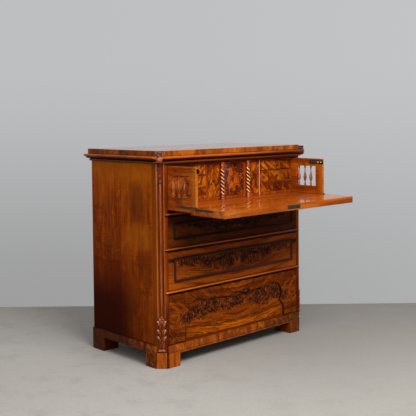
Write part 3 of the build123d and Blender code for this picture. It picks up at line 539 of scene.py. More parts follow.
def arched_figure(wood, side, up):
    """Dark clusters in a band that follows the arch, with streaks above it and plain grain below."""
    middle = 0.6 - side * side * 0.24
    half = 0.11 + side.band(0.5, 0.1, 0.14) * 0.05
    dark = (abs(up - middle) - half).smooth(0.12, -0.05) * side.smooth(1, 0.74)
    above = (up - middle).smooth(-0.02, 0.16) + side.smooth(0.82, 0.92)
    wood.tint((up - middle).smooth(-0.1, -0.24) * side.smooth(0.86, 0.74) * 0.3, (160, 74, 3))
    long_grain = wood.noise(34, 3, 0.6, 0.8, wood.spot((0.05, 1, 1), (0, 0, 2.7)))
    below = (up - middle).smooth(-0.06, -0.2)
    wood.tint(long_grain.band(0.46, 0.006, 0.026) * below * 0.9, (66, 24, 3))
    wood.tint(long_grain.band(0.56, 0.01, 0.034) * below * 0.75, (82, 32, 4))
    wood.tint(long_grain.band(0.51, 0.006, 0.022) * below * 0.45, (196, 96, 4))
    gold = up.band(0.07, 0.03, 0.06) * side.smooth(0.72, 0.5) * wood.streaks.smooth(0.46, 0.54)
    wood.tint(gold * 0.75, (212, 108, 4))
    wood.tint(side.smooth(0.7, 0.92) * up.smooth(0.5, 0.2) * 0.5, (62, 22, 8))
    rim = abs(wood.x).band(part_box("lower_drawer_moulding")[1].x, 1.5 * MM, 2.5 * MM) * up.smooth(0.4, 0.3)
    wood.tint(rim * 0.8, (30, 11, 5))
    lit = side.band(0, 0.12, 0.14) * up.band(0.84, 0.05, 0.1)
    lit = lit + side.band(0.92, 0.03, 0.06) * up.band(0.52, 0.05, 0.08)
    flecks = (wood.streaks * 0.5 + long_grain * 0.5).smooth(0.46, 0.56)
    wood.tint(lit * flecks * 0.55, (196, 96, 8))
    return wood.math("MINIMUM", above, 1) - lit * 0.35, dark


def feather_veneer(node, seed, slant, shade=0, foot=1.6):
    """Strongly figured veneer of the fitment: gold flames on a dark red ground, on a slant, with painted
    shadow under the top and along each front's foot.
    """
    wood = Wood(node + "_veneer", "x", seed, turn=(0, slant, 0), bands=34, streaks=120, wander=1)
    wood.stain((98, 34, 3), (146, 62, 4), (190, 100, 10), 1.8)
    here = wood.spot((0.42, 1, 1), turn=(0, slant, 0), start=wood.spread)
    flames = wood.noise(34, 3, 0.62, 1.3, here) - shade
    wood.fade(flames, (0.52, 0.42, 0.85, (76, 24, 4)), (0.58, 0.72, 0.75, (212, 118, 14)))
    wood.fade(wood.x, (0.24, 0.36, 0.4, (70, 18, 2)), (-0.24, -0.34, 0.35, (78, 24, 4)))
    # Painted shadow of the top over the upper fronts.
    wood.fade(wood.above(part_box("small_drawer_left_top")[1].z), (-9, 4, 0.7, (40, 14, 4)))
    # Painted shadow gap along the foot of each front, foot millimetres tall.
    wood.fade(wood.above(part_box(node)[0].z), (foot, foot * 0.6, 0.9, (22, 8, 3)))
    return wood.polish(gloss=0.26, coat=0.3, coat_gloss=0.08)


def fitment_wood(name, seed):
    """Carcase of the fitment, with a painted highlight on the front edge of one divider."""
    wood = Wood(name, "z", seed)
    wood.stain((106, 36, 6), (142, 56, 8), (176, 84, 18))
    wood.ripple(0.12)
    inwards = wood.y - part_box("fitment_carcase")[0].y
    divider = (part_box("narrow_drawer_right")[1].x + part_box("small_drawer_right_top")[0].x) / 2
    # Painted highlight along that divider's front edge.
    lit = wood.x.band(divider, 1.6 * MM, 0.8 * MM) * 0.75
    wood.fade(inwards, (2 * MM, 1 * MM, lit, (232, 176, 156)))
    return wood.polish()


def burr_veneer(name, seed):
    """Swirled veneer of the centre door: a glowing middle in a dark ring."""
    low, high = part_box("centre_door")
    wood = Wood(name, "z", seed, bands=26, streaks=80, wander=2)
    wood.stain((100, 34, 4), (138, 52, 5), (176, 80, 10), 1.6)
    swirl = wood.noise(34, 4, 0.62, 1.6)
    up = wood.z - (low.z * 0.5 + high.z * 0.5)
    reach = wood.math("SQRT", wood.x * wood.x + up * up * 0.55) + (swirl - 0.5) * 0.06
    ring = reach.band(0.056, 0.008, 0.016)
    wood.tint(ring * 0.8, (62, 20, 7))
    wood.fade(swirl, (0.52, 0.6, 0.8, (60, 22, 12)), (0.47, 0.38, 0.6, (206, 96, 10)))
    curls = wood.noise(80, 4, 0.66, 2.4)
    wood.fade(curls, (0.53, 0.62, 0.6, (74, 26, 10)))
    return wood.polish(gloss=0.24, coat=0.45, coat_gloss=0.08)


def fall_veneer(name, seed):
    """Long orange grain of the writing surface, worn pale at the near corner."""
    wood = Wood(name, "x", seed, bands=20, streaks=110, wander=0.3)
    wood.stain((132, 50, 4), (166, 70, 6), (194, 94, 16), 1.1)
    wood.ripple(0.1, 26)
    low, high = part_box("fall_board")
    corner = wood.x.band(low.x + 0.03, 0.03, 0.1) * wood.y.band(low.y, 0.05, 0.1)
    worn = corner * wood.noise(22, 4, 0.6).smooth(0.38, 0.62)
    wood.tint(worn * 0.55, (206, 150, 92))
    near = wood.y.smooth(high.y - 0.04, high.y - 0.09)
    # The last step darkens the strip along the back towards the left: painted shade of the left gallery
    # side.
    wood.fade(wood.x, (-0.25, 0.05, (near * 0.5 + 0.5) * 0.4, (214, 108, 6)),
              (-0.05, -0.25, near * 0.3, (214, 108, 6)), (-0.12, -0.4, (1 - near) * 0.35, (104, 44, 10)))
    edge = wood.y.smooth(low.y + 0.8 * MM, low.y + 0.2 * MM)
    wood.tint(edge * 0.45, (132, 66, 18))
    wood.fade(wood.z, (high.z - 0.01, low.z + 0.002, 0.35, (110, 48, 16)))
    slats = wood.noise(46, 2, 0.5, 0.1, wood.spot((0.05, 1, 1), (0, 3.1, 0)))
    wood.fade(slats, (0.52, 0.6, 0.45, (112, 42, 4)), (0.44, 0.38, 0.35, (214, 112, 22)))
    outside = wood.z.smooth(low.z + 1 * MM, low.z + 0.4 * MM)
    pair = wood.vector(abs(wood.x), wood.y, 0)
    clusters = wood.noise(17, 5, 0.66, 1.2, wood.spot((1, 1, 1), (0.4, 0.9, 0), start=pair))
    hang = wood.y.smooth(high.y - 0.03, low.y + 0.05)
    wood.tint(outside * (clusters + hang * 0.16).smooth(0.55, 0.66) * 0.9, (52, 22, 12))
    wood.tint(outside * 0.35, (96, 38, 6))
    return wood.polish(gloss=0.26, coat=0.7, coat_gloss=0.06, depth=0.00005)


def carved_wood(name, seed, dark, middle, light, coat, soiled=0.5, shade=None):
    """Turned and carved wood, with random dark patches of old polish and painted shade in its hollows."""
    wood = Wood(name, "z", seed, bands=30, streaks=160)
    wood.stain(dark, middle, light)
    wood.fade(wood.noise(60, 3), (0.52, 0.72, soiled, (48, 16, 8)))
    if shade:
        shade(wood)
    return wood.polish(gloss=0.3, coat=coat, coat_gloss=0.1, radius=0.0006, shine=0.3)


def across_cant(wood):
    """Distance along a canted corner from its middle, to either side."""
    return abs(abs(wood.x) - cant_middle.x + wood.y - cant_middle.y) * math.sqrt(0.5)


def reed_shade(wood):
    """Dull capital and button, and duller reeds towards the foot."""
    height = wood.above(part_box("corner_reeds")[0].z)
    capital = across_cant(wood).smooth(12.6 * MM, 11.6 * MM)
    wood.fade(height, (636, 644, capital * 0.75, (78, 36, 22)), (160, 0, 0.45, (88, 38, 20)))


def leaf_shade(wood):
    """Painted highlights on the tips of the leaves and on the ledge."""
    height = wood.above(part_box("leaf_carvings")[0].z)
    # Painted highlights: paler tips and ledge.
    tips = across_cant(wood).smooth(11 * MM, 14 * MM) * height.smooth(20, 24)
    wood.tint(tips * 0.5 + height.band(12, 6, 1) * 0.2, (226, 164, 132))


def block_shade(wood):
    """Dark flanks of the cap and a warm ball below it."""
    ball_share = wood.above(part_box("top_board")[0].z).smooth(-2, -8)
    wood.fade(across_cant(wood), (4 * MM, 9 * MM, (1 - ball_share) * 0.75, (30, 18, 16)))
    wood.tint(ball_share * 0.7, (190, 92, 40))


def column_wood(name, seed):
    """Turned fruitwood of the twisted columns, with painted highlights on the strands and painted shade in
    the grooves.
    """
    wood = Wood(name, "z", seed, bands=30, streaks=160)
    wood.stain((128, 42, 5), (168, 68, 9), (198, 96, 20))
    low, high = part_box("twist_columns")
    radius = (high.y - low.y) / 2
    across = wood.x - wood.math("SIGN", wood.x) * (high.x - radius)
    angle = wood.math("ARCTAN2", wood.y - (low.y + high.y) / 2, across)
    crest = wood.math("COSINE", (angle + (wood.z - low.z) * (math.tau / STRAND_PITCH)) * 2)
    twisted = wood.z.band((low.z + high.z - 9 * MM) / 2, (high.z - low.z) / 2 - 31 * MM, 2 * MM)
    # Painted shade in the grooves and painted highlights on the strands of the twisted part.
    wood.fade(crest, (0.15, -0.55, twisted * 0.92, (58, 14, 3)),
              (0.3, 0.95, twisted * 0.85, (255, 190, 122)))
    return wood.polish(gloss=0.24, coat=1, coat_gloss=0.06, radius=0.0004, wear=0, shine=0.4)


def softwood(name, grain, seed, dark=(104, 72, 42), middle=(138, 102, 64), light=(164, 128, 86)):
    """Unpolished inner wood, grey-brown with age."""
    wood = Wood(name, grain, seed, bands=12, streaks=70)
    wood.stain(dark, middle, light, 1.1)
    wood.fade(wood.clouds, (0.5, 0.75, 0.4, (92, 66, 44)))
    knots = wood.noise(9, 1, 0.4, 0.3)
    wood.fade(knots, (0.7, 0.76, 0.7, (70, 42, 22)))
    return wood.polish(gloss=0.62, coat=0, depth=0.0003, radius=0.0006, wear=0.2, worn=(176, 146, 106))


def metal(name, seed, bright, dull, gloss=0.34, cover=0.5):
    """Old metal: clean where it is handled, dulled elsewhere."""
    finish = Finish(name)
    patches = finish.noise(90, 4, 0.6, spot=finish.spot(shift=(seed, seed * 0.3, seed * 0.7)))
    fine = finish.noise(700, 2)
    dulled = (patches * 0.75 + fine * 0.25).smooth(cover - 0.12, cover + 0.1)
    colour = finish.mix(dulled, bright, dull)
    colour = finish.mix(finish.edges(0.0008) * 0.6, colour, bright)
    finish.feed(Base_Color=colour, Metallic=1 - dulled * 0.45, Roughness=gloss + dulled * 0.28)
    finish.relief(patches * 0.6 + fine * 0.4, 0.00008, 0.0004)
    return finish


def studio():
    """Pale floor and wall, soft lamps and the camera."""
    heading = angled(-CAMERA_TURN, "Z")
    forward = heading @ Vector((0, 1, 0))
    side = heading @ Vector((1, 0, 0))
    foot = Vector((*CAMERA_PLACE[:2], 0)) + forward * WALL_DISTANCE

    floor, finish = room_square("studio_floor", FLOOR_REACH, Matrix())
    mottle = finish.noise(7, 5, 0.6) - 0.5
    reach = finish.x * forward.x + finish.y * forward.y - foot.dot(forward)
    across = finish.x * side.x + finish.y * side.y - foot.dot(side)
    right = (across + mottle * 0.2).smooth(-0.5, 0.75)
    # Floor tone painted darker towards the wall and on the far right, standing for the fall of the light.
    near_tone = finish.mix(right, (171, 167, 160), (160, 156, 149))
    far_tone = finish.mix(right, (172, 168, 163), (137, 133, 128))
    colour = finish.mix((reach + mottle * 0.1).smooth(-2, 0.05), near_tone, far_tone)
    colour = finish.mix(mottle.smooth(0, 0.14) * 0.3, colour, (150, 146, 139))
    grit = finish.noise(60, 4, 0.7, spot=finish.spot(turn=(0, 0, 44)))
    colour = finish.mix(grit.smooth(0.5, 0.66) * 0.16, colour, (120, 115, 108))
    # Glossy rays see the floor dark: its reflection in the polish is painted dark.
    glossy = finish.node("LightPath", output="Is Glossy Ray")
    colour = finish.mix(glossy * 0.75, colour, (30, 26, 22))
    finish.feed(Base_Color=colour, Roughness=0.8, Specular_IOR_Level=0.1)
    clear_from_behind(finish, Amount(finish, finish.shader.outputs[0]))

    upright = at(foot.x, foot.y, WALL_REACH) @ heading @ FORWARD
    wall, finish = room_square("studio_wall", WALL_REACH, upright)
    across = finish.x * side.x + finish.y * side.y - foot.dot(side)
    # The wall glows by itself, no lamp: painted light, darker towards the floor and lighter to the right.
    colour = finish.mix(finish.z.smooth(0, 1.6), (158, 158, 158), (190, 191, 193))
    colour = finish.mix(across.smooth(-1, 1.6) * 0.3, colour, (204, 205, 207))
    clear_from_behind(finish, finish.node("Emission", inputs={"Color": colour, "Strength": 1}))

    world_light()
    lamp("key_lamp", (-0.6, -2.6, 3.2), (0, -0.1, 0.5), (2.4, 1.6), 160)
    lamp("strip_lamp", (-3.4, -2.3, 1.6), (-0.3, 0, 0.5), (0.5, 2.4), 20)

    camera = bpy.data.objects.new("camera", bpy.data.cameras.new("camera"))
    bpy.context.collection.objects.link(camera)
    camera.data.sensor_width = SENSOR
    camera.data.lens = FOCAL_PIXELS * SENSOR / PICTURE_SIZE
    camera.data.shift_y = (AXIS_ROW - PICTURE_SIZE / 2) / PICTURE_SIZE
    camera.data.clip_start = 0.05
    aim = heading @ angled(90 - CAMERA_TIP, "X") @ angled(CAMERA_ROLL, "Z")
    camera.matrix_world = at(*CAMERA_PLACE) @ aim
    bpy.context.scene.camera = camera
    bpy.context.scene.view_settings.view_transform = "Standard"


def room_square(name, reach, place):
    """A square of the room that reaches that far from its middle, and its finish."""
    shape = bmesh.new()
    bmesh.ops.create_grid(shape, x_segments=1, y_segments=1, size=reach)
    bmesh.ops.transform(shape, matrix=place, verts=shape.verts)
    made = make_object(name, shape)
    finish = Finish(name)
    made.data.materials.append(finish.material)
    return made, finish


def clear_from_behind(finish, surface):
    """Let the floor and the wall be looked through from their backs."""
    clear = finish.node("BsdfTransparent")
    behind = finish.node("NewGeometry", output="Backfacing")
    both = finish.node("MixShader", inputs={0: behind, 1: surface, 2: clear})
    finish.fill(finish.tree.nodes["Material Output"], {"Surface": both})


def world_light():
    """Soft light from all round, stronger overhead. Gloss sees it dim, with a bright window."""
    world = bpy.data.worlds.new("studio")
    bpy.context.scene.world = world
    world.use_nodes = True
    nodes = Nodes(world.node_tree)
    glossy = nodes.node("LightPath", output="Is Glossy Ray")
    way = nodes.node("TexCoord", output="Generated")
    height = nodes.node("SeparateXYZ", inputs={0: way}, output="Z")
    sky = nodes.node("MapRange", inputs={"Value": height, "From Min": -0.1, "From Max": 0.9,
                                         "To Min": WORLD_LOW, "To Max": WORLD_HIGH})
    toward = nodes.node("VectorMath", {"operation": "DOT_PRODUCT"}, {0: way, 1: WINDOW_WAY}, output="Value")
    window = toward.smooth(0.88, 0.95) * WINDOW_GLOW
    nodes.fill(nodes.tree.nodes["Background"], {
        "Strength": window * glossy + sky * (1 - glossy * 0.86), "Color": (1, 1, 1.02, 1)})


def lamp(name, place, aim, size, power):
    data = bpy.data.lights.new(name, "AREA")
    data.shape = "RECTANGLE"
    data.size, data.size_y = size
    data.energy = power
    made = bpy.data.objects.new(name, data)
    made.location = place
    made.rotation_euler = (Vector(aim) - Vector(place)).to_track_quat("-Z", "Y").to_euler()
    bpy.context.collection.objects.link(made)


def make_object(name, shape):
    """Put a bmesh into the scene as an object at the origin."""
    mesh = bpy.data.meshes.new(name)
    shape.to_mesh(mesh)
    shape.free()
    made = bpy.data.objects.new(name, mesh)
    bpy.context.collection.objects.link(made)
    return made


def dress(finish, *names):
    """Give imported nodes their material."""
    for name in names:
        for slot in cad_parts[name].material_slots:
            slot.material = finish.material


def join(name, shape, finish, body, slot, *replaced, smooth=0):
    """Finish a modelled piece: close it, shade it, give it its material and let it ride."""
    bmesh.ops.recalc_face_normals(shape, faces=shape.faces)
    piece = make_object(name, shape)
    piece.data.shade_smooth()
    piece.data.set_sharp_from_angle(angle=SHARP_ANGLE)
    piece.data.materials.append(finish.material)
    if smooth:
        rounding = piece.modifiers.new("rounding", "SUBSURF")
        rounding.levels = smooth
        rounding.render_levels = smooth
    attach(piece, body)
    if replaced:
        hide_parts(*replaced)


IN_MM = Matrix.Scale(MM, 4)
UPRIGHT = angled(-90, "X")
FORWARD = angled(90, "X")


def cant_place(side):
    """Millimetres with x along a canted corner, y up, z outwards; side is 1 on the right, -1 on the left."""
    axes = Matrix(((1, 1, 0), (0, 0, math.sqrt(2)), (1, -1, 0))) * math.sqrt(0.5)
    place = axes.transposed().to_4x4()
    place.translation = cant_middle
    return Matrix.Scale(side, 4, (1, 0, 0)) @ place @ IN_MM


def turned(shape, place, profile, steps=16, wide=1, tall=1):
    """A turned form: (radius, height) points, times wide and tall, spun about the place's z axis."""
    known = set(shape.verts)
    line = [shape.verts.new((radius * wide, 0, level * tall)) for radius, level in profile]
    edges = [shape.edges.new(pair) for pair in zip(line, line[1:])]
    bmesh.ops.spin(shape, geom=line + edges, cent=(0, 0, 0), axis=(0, 0, 1), dvec=(0, 0, 0),
                   angle=math.tau, steps=steps, use_merge=True)
    made = [vert for vert in shape.verts if vert not in known]
    bmesh.ops.transform(shape, matrix=place, verts=made)
    bmesh.ops.remove_doubles(shape, verts=made, dist=0.001 * MM)


def move(shape, place, made):
    bmesh.ops.transform(shape, matrix=place, verts=made["verts"])


def rod(shape, place, radius, low, high, sides=16):
    """A round rod along the place's z axis."""
    made = bmesh.ops.create_cone(shape, cap_ends=True, segments=sides, radius1=radius, radius2=radius,
                                 depth=high - low)
    move(shape, place @ at(0, 0, (low + high) / 2), made)


def board(shape, place, low, high, rounding):
    """A board between two corners with its edges rounded, by millimetres."""
    low = Vector(low)
    high = Vector(high)
    made = bmesh.ops.create_cube(shape, size=1)
    move(shape, place @ at(*(low + high) / 2) @ Matrix.Diagonal((*(high - low), 1)), made)
    edges = list({edge for vert in made["verts"] for edge in vert.link_edges})
    bmesh.ops.bevel(shape, geom=edges, offset=rounding * MM, affect="EDGES", segments=3, profile=0.5,
                    material=-1)


def ball(shape, place, radius):
    move(shape, place, bmesh.ops.create_uvsphere(shape, u_segments=12, v_segments=8, radius=radius))


def lobe(shape, place, root, lean, length, width, lift, curl):
    """A leaf lobe from its root, leaning from upright by lean degrees, its tip curled outwards."""
    made = bmesh.ops.create_uvsphere(shape, u_segments=12, v_segments=10, radius=1)
    for vert in made["verts"]:
        across, depth, along = vert.co
        reach = (along + 1) / 2
        fullness = 0.5 + 0.9 * reach - 0.35 * reach * reach
        rib = 0.35 * max(0, 1 - abs(across) * 2.2) if depth > 0 else 0
        vert.co = (across * fullness * width / 2, reach * length,
                   lift * (0.5 + depth * (0.5 + rib)) + curl * reach ** 3)
    move(shape, place @ at(*root) @ angled(-lean, "Z"), made)


def corner_reeds(finish):
    """Central reed, tapered at its foot, with a cup capital, a button above it and a rib on each side."""
    low, high = (corner.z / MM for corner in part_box("corner_reeds"))
    cup_height = low + 646
    taper = ((0, 0), (4.4, 0), (5.6, 2.4), (4.4, 4.8), (2, 6), (2.4, 18), (4.2, 48), (5.4, 76), (0, 76))
    cup = ((0, -8), (5.5, -8), (6.4, -5), (8.8, -1.6), (10.8, 0.6), (11.4, 2.8), (10.4, 4.8), (6.8, 6.6),
           (4.8, 9.4), (3, 12.2), (0, 13.4))
    button = ((0, 0), (3.8, 0), (4, 1.4), (3, 2.8), (0, 3.4))
    shape = bmesh.new()
    for side in (1, -1):
        place = cant_place(side)
        recessed = place @ at(0, 0, -3)
        rod(shape, recessed @ UPRIGHT, 5.4, low + 75, cup_height)
        turned(shape, recessed @ at(0, low, 0) @ UPRIGHT, taper)
        for x in (-17.2, 17.2):
            rod(shape, place @ at(x, 0, -0.4) @ UPRIGHT, 3.9, low, high)
        turned(shape, recessed @ at(0, cup_height, 0) @ UPRIGHT, cup)
        turned(shape, recessed @ at(0, cup_height + 30, 0), button, 12)
    join("carved_reeds", shape, finish, "case", "carved_walnut", "corner_reeds")


def leaf_carvings(finish):
    """Three pairs of curled leaves over a tapering stem, on a ledge, on both canted corners."""
    low, high = (corner.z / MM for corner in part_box("leaf_carvings"))
    ledge_low = low + 6
    ledge_high = low + 18
    length = high - ledge_high
    knob = ((0, 0), (4.8, 0), (5.8, 2.4), (4.4, 5), (0, 6))
    # Each tier's root and leaves as shares of the length, and the leaves' lean in degrees
    tiers = ((0.6, 0.33, 19), (0.38, 0.27, 23), (0.19, 0.24, 25))
    shape = bmesh.new()
    for side in (1, -1):
        place = cant_place(side)
        board(shape, place, (-13.2, ledge_high, -3.2), (13.2, high - 3, -1.2), 0.5)
        turned(shape, place @ at(0, high - 9, 1) @ UPRIGHT, knob)
        for root_share, blade_share, lean in tiers:
            root = ledge_high + length * root_share
            blade = length * blade_share
            for hand in (-1, 1):
                lobe(shape, place, (hand * 1.5, root, -1), hand * lean, blade, 12, 7.5, 2.2)
                tip_x = hand * (2.5 + math.sin(math.radians(lean)) * blade * 0.95)
                tip_y = root + math.cos(math.radians(lean)) * blade * 0.9
                ball(shape, place @ at(tip_x, tip_y, 5.6), 5)
            lobe(shape, place, (0, root + blade * 0.1, -1), 0, blade * 0.62, 8, 5, 0)
        for lean in (-14, 0, 14):
            lobe(shape, place, (0, ledge_high + length * 0.24, -1), 180 + lean, length * 0.23, 10, 7, 1)
        board(shape, place, (-15, ledge_low + 4, 0), (15, ledge_high, 8), 2.6)
        board(shape, place, (-17, ledge_low, 0), (17, ledge_low + 4.4, 6), 1.4)
    join("carved_leaves", shape, finish, "case", "carved_walnut", "leaf_carvings")


def corner_blocks(finish):
    """Carved block on the cornice at each canted corner: a ribbed cap that swells into a ball below."""
    outline = ((0, 20), (11, 20), (11.8, 18.5), (11.2, 16), (10.6, 14), (10.6, 3), (12.4, 0.5), (14.6, -2),
               (17.2, -7), (18.2, -13), (17.4, -19), (14.4, -25), (9.6, -29.5), (0, -32))
    shape = bmesh.new()
    for side in (1, -1):
        place = cant_place(side) @ at(0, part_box("top_board")[0].z / MM, 21) @ UPRIGHT
        turned(shape, place, outline, 24)
        for angle in range(0, 360, 30):
            rod(shape, place @ angled(angle, "Z") @ at(10.4, 0, 0), 2, 1, 16, 8)
    join("corner_blocks", shape, finish, "case", "walnut_veneer")


def rail_ends(finish):
    """The rounded noses of the rails carried across the stiles."""
    low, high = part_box("drawer_rails")
    bead = 7
    reach = (half_width - cant - high.x) / MM + 1
    outline = ((0, 0), (bead, 0), (bead, reach - 3), (bead * 0.86, reach - 1), (bead / 2, reach), (0, reach))
    shape = bmesh.new()
    for height in rail_centres():
        for hand in (-1, 1):
            place = at(hand * (high.x - 1 * MM), low.y + bead * MM, height) @ IN_MM
            turned(shape, place @ angled(90 * hand, "Y"), outline, 20)
    join("rail_ends", shape, finish, "case", "walnut_veneer")


def catch_trims(iron, brass):
    """Front ends of the catch plates, pointed on the left and square on the right, and bright heads."""
    low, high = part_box("catch_plates")
    point = ((8, -11), (8, 11), (-3, 12), (-8, 6), (-12, 0), (-8, -6), (-3, -12))
    square = ((8, -11), (8, 11), (-1, 11), (-1, -11))
    ends = bmesh.new()
    heads = bmesh.new()
    for hand, outline in ((-1, point), (1, square)):
        place = at(hand * (high.x - 2 * MM), low.y, (low.z + high.z) / 2) @ IN_MM
        corners = [ends.verts.new(place @ FORWARD @ Vector((hand * x, z, 0.1))) for x, z in outline]
        bmesh.ops.solidify(ends, geom=[ends.faces.new(corners)], thickness=0.9 * MM)
        for from_front in (10, 28):
            ball(heads, place @ at(0, from_front, 0) @ Matrix.Diagonal((0.6, 1, 1, 1)), 4.2)
    join("catch_ends", ends, iron, "secretaire_drawer", "hinge_iron")
    join("catch_heads", heads, brass, "secretaire_drawer", "aged_brass")


def twist_columns(finish):
    """Barley-twist columns of two strands, between turned necks."""
    low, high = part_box("twist_columns")
    low_neck = 26 * MM
    high_neck = 35 * MM
    height = high.z - low.z
    radius = (high.y - low.y) / 2
    neck = ((0, 0), (9.6, 0), (9.9, 1.2), (9.9, 4.4), (9, 5.6), (6.6, 6.4), (6.2, 8.6), (7.8, 10.8),
            (8.2, 13.4), (7.2, 16), (6, 18.2), (6.4, 20), (8.2, 21), (8.4, 23.2), (7, 25), (5, 27.5),
            (0, 27.5))
    shape = bmesh.new()
    for hand in (-1, 1):
        foot = at(hand * (high.x - radius), (low.y + high.y) / 2, low.z)
        head = foot @ at(0, 0, height) @ Matrix.Diagonal((1, 1, -high_neck / low_neck, 1))
        for phase in (0, math.pi):
            strand_line(shape, foot, low_neck - 3 * MM, height - high_neck + 3 * MM, phase)
        for place in (foot, head):
            turned(shape, place @ IN_MM, neck, 24)
    join("barley_columns", shape, finish, "secretaire_drawer", "turned_wood", "twist_columns")


def strand_line(shape, place, low, high, phase):
    """One round strand wound about the place's z axis."""
    curve = bpy.data.curves.new("strand", "CURVE")
    curve.dimensions = "3D"
    curve.bevel_depth = STRAND_RADIUS
    curve.bevel_resolution = 4
    curve.use_fill_caps = True
    count = 72
    line = curve.splines.new("POLY")
    line.points.add(count)
    for step, point in enumerate(line.points):
        level = low + (high - low) * step / count
        angle = phase - math.tau * level / STRAND_PITCH
        spot = Vector((STRAND_THROW * math.cos(angle), STRAND_THROW * math.sin(angle), level))
        point.co = (*(place @ spot), 1)
    holder = bpy.data.objects.new("strand", curve)
    shape.from_mesh(bpy.data.meshes.new_from_object(holder))
    bpy.data.objects.remove(holder)


def gallery_spindles(finish):
    """Vase-shaped spindles of the gallery windows, three on each side."""
    low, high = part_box("gallery_spindles")
    radius = 7 * MM
    first = low.y + radius * 0.98
    last = high.y - radius * 0.98
    outline = ((0, 0), (0.7, 0), (0.8, 0.012), (0.8, 0.045), (0.55, 0.06), (0.52, 0.085), (0.84, 0.1),
               (0.86, 0.125), (0.5, 0.145), (0.4, 0.18), (0.5, 0.24), (1.02, 0.31), (1.28, 0.38),
               (1.32, 0.43), (1.2, 0.5), (0.86, 0.58), (0.52, 0.66), (0.38, 0.76), (0.36, 0.86),
               (0.42, 0.885), (0.74, 0.9), (0.74, 0.925), (0.46, 0.94), (0.7, 0.958), (0.78, 0.97),
               (0.78, 0.992), (0.7, 1), (0, 1))
    shape = bmesh.new()
    for hand in (-1, 1):
        for y in (first, (first + last) / 2, last):
            turned(shape, at(hand * (high.x - radius), y, low.z), outline, 12, radius, high.z - low.z)
    join("turned_spindles", shape, finish, "secretaire_drawer", "turned_wood", "gallery_spindles", smooth=1)


def turned_knob(node, finish):
    """A small turned knob with a button face and a collar, on its own drawer."""
    low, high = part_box(node)
    outline = ((0, 0), (0.92, 0), (0.95, 0.04), (0.84, 0.11), (0.48, 0.16), (0.4, 0.26), (0.42, 0.36),
               (0.78, 0.46), (0.97, 0.58), (1, 0.7), (0.9, 0.84), (0.62, 0.93), (0.42, 0.92), (0.3, 0.97),
               (0, 1))
    place = at((low.x + high.x) / 2, high.y, (low.z + high.z) / 2) @ FORWARD
    shape = bmesh.new()
    turned(shape, place, outline, 16, (high.x - low.x) / 2, high.y - low.y)
    body = node.replace("knob", "drawer") + "_body"
    join("turned_" + node, shape, finish, body, "dark_bronze", node, smooth=1)


studio()

dress(side_veneer("side_veneer_left", 1), "side_left")
dress(side_veneer("side_veneer_right", 2), "side_right")
dress(post_veneer("post_veneer", 3), "corner_posts")
dress(rail_veneer("rail_veneer", 4), "drawer_rails")
dress(plain_veneer("top_rail_veneer", 4.4, (96, 30, 4), (124, 44, 5), (150, 62, 8)), "top_rail")
dress(cornice_wood("cornice_wood", 5), "cornice_moulding")
dress(banded_veneer("top_veneer", 6), "top_board")
dress(plinth_veneer("plinth_veneer", 7, "plinth_frame", 0.18), "plinth_frame")
dress(plinth_veneer("foot_veneer", 7.6, "front_feet", 0.55), "front_feet", "rear_feet")
# The last number of each row is its share of painted shadow of the fall.
for drawer, seed, shape, fall_shadow in (("upper", 10, hanging_figure, 0.78), ("middle", 11, hanging_figure, 0),
                                   ("lower", 12, arched_figure, 0)):
    node = drawer + "_drawer_front"
    dress(flame_front("flame_" + drawer, node, seed, shape, fall_shadow), node)
dress(frame_moulding("upper_moulding_wood", 13, "upper_drawer_moulding", 0.75), "upper_drawer_moulding")
dress(frame_moulding("middle_moulding_wood", 14, "middle_drawer_moulding", 0), "middle_drawer_moulding")
dress(plain_veneer("fall_moulding_wood", 13.8, (40, 25, 23), (56, 37, 35), (74, 50, 46)),
      "fall_moulding")
dress(plain_veneer("arch_lining", 13.4, (10, 5, 3), (16, 8, 5), (26, 12, 7), coat=0.05, wear=0),
      "lower_drawer_moulding")
dress(fall_veneer("fall_veneer", 14), "fall_board")
dress(gallery_veneer("gallery_veneer", 15), "gallery_side_left", "gallery_side_right")
dress(plain_veneer("floor_veneer", 16, (120, 46, 5), (156, 66, 8), (184, 88, 16), 0.45),
      "secretaire_floor")
dress(fitment_wood("fitment_veneer", 17), "fitment_carcase", "secretaire_back")
twist_columns(column_wood("column_wood", 18))
dress(burr_veneer("door_veneer", 19), "centre_door")
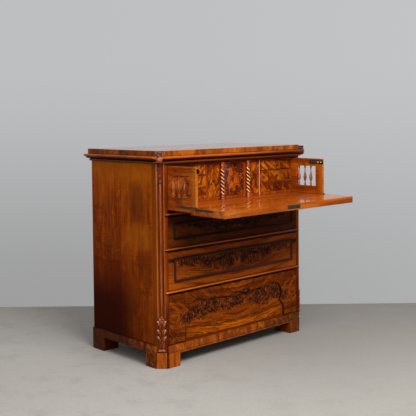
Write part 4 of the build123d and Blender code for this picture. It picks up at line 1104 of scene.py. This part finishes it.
for order, row in enumerate(("bottom", "middle", "top")):
    for side, slant in (("left", 34), ("right", -34)):
        node = "small_drawer_%s_%s" % (side, row)
        foot = 6.5 if row == "top" else 1.8
        seed = 20 + order * 2.3 + slant * 0.1
        dress(feather_veneer(node, seed, slant, 0.04 - order * 0.04, foot), node)
for side, slant in (("left", -58), ("right", 58)):
    node = "narrow_drawer_" + side
    dress(feather_veneer(node, 30 + slant * 0.1, slant), node)
dress(softwood("carcase_softwood", "z", 31), "case_back")
dress(softwood("board_softwood", "x", 32), "bottom_board")
dress(softwood("runner_softwood", "y", 33), "drawer_runners", "drawer_stops")
dress(softwood("drawer_lining", "y", 34, (140, 100, 58), (172, 132, 84), (192, 154, 104)),
      "upper_drawer_box", "middle_drawer_box", "lower_drawer_box")
iron = metal("hinge_iron", 1, (104, 100, 84), (62, 60, 46))
brass = metal("aged_brass", 2, (110, 96, 58), (62, 56, 38))
bronze = metal("dark_bronze", 3, (84, 58, 42), (44, 28, 22))
dress(iron, "fall_hinge_side_leaves", "fall_hinge_leaves", "fall_lock", "fall_lock_bolt")
catch_iron = metal("catch_iron", 1.6, (104, 92, 56), (56, 52, 34))
dress(catch_iron, "catch_plates")
dress(brass, "middle_drawer_lock", "lower_drawer_lock", "centre_door_fittings")
# The upper lock's brass is darkened as painted shadow of the fall.
dress(metal("shaded_brass", 2.2, (54, 47, 30), (30, 26, 18)), "upper_drawer_lock")
for side in ("left", "right"):
    turned_knob("narrow_knob_" + side, bronze)
    for row in ("bottom", "middle", "top"):
        turned_knob("small_knob_%s_%s" % (side, row), bronze)
corner_reeds(carved_wood("reed_wood", 8, (118, 48, 10), (160, 78, 20), (192, 106, 36), 0.8, 0.3,
                         reed_shade))
leaf_carvings(carved_wood("leaf_wood", 9, (96, 34, 8), (150, 64, 20), (200, 104, 46), 0.6, 0.4,
                          leaf_shade))
rail_ends(rail_veneer("rail_end_veneer", 4))
catch_trims(catch_iron, metal("bright_brass", 2.4, (236, 200, 120), (176, 136, 66), 0.28, 0.62))
corner_blocks(carved_wood("block_wood", 9.5, (80, 32, 10), (112, 50, 18), (140, 68, 30), 0.4, 0.5,
                          block_shade))
gallery_spindles(carved_wood("spindle_wood", 18.6, (110, 42, 8), (156, 72, 18), (192, 104, 38), 0.5))
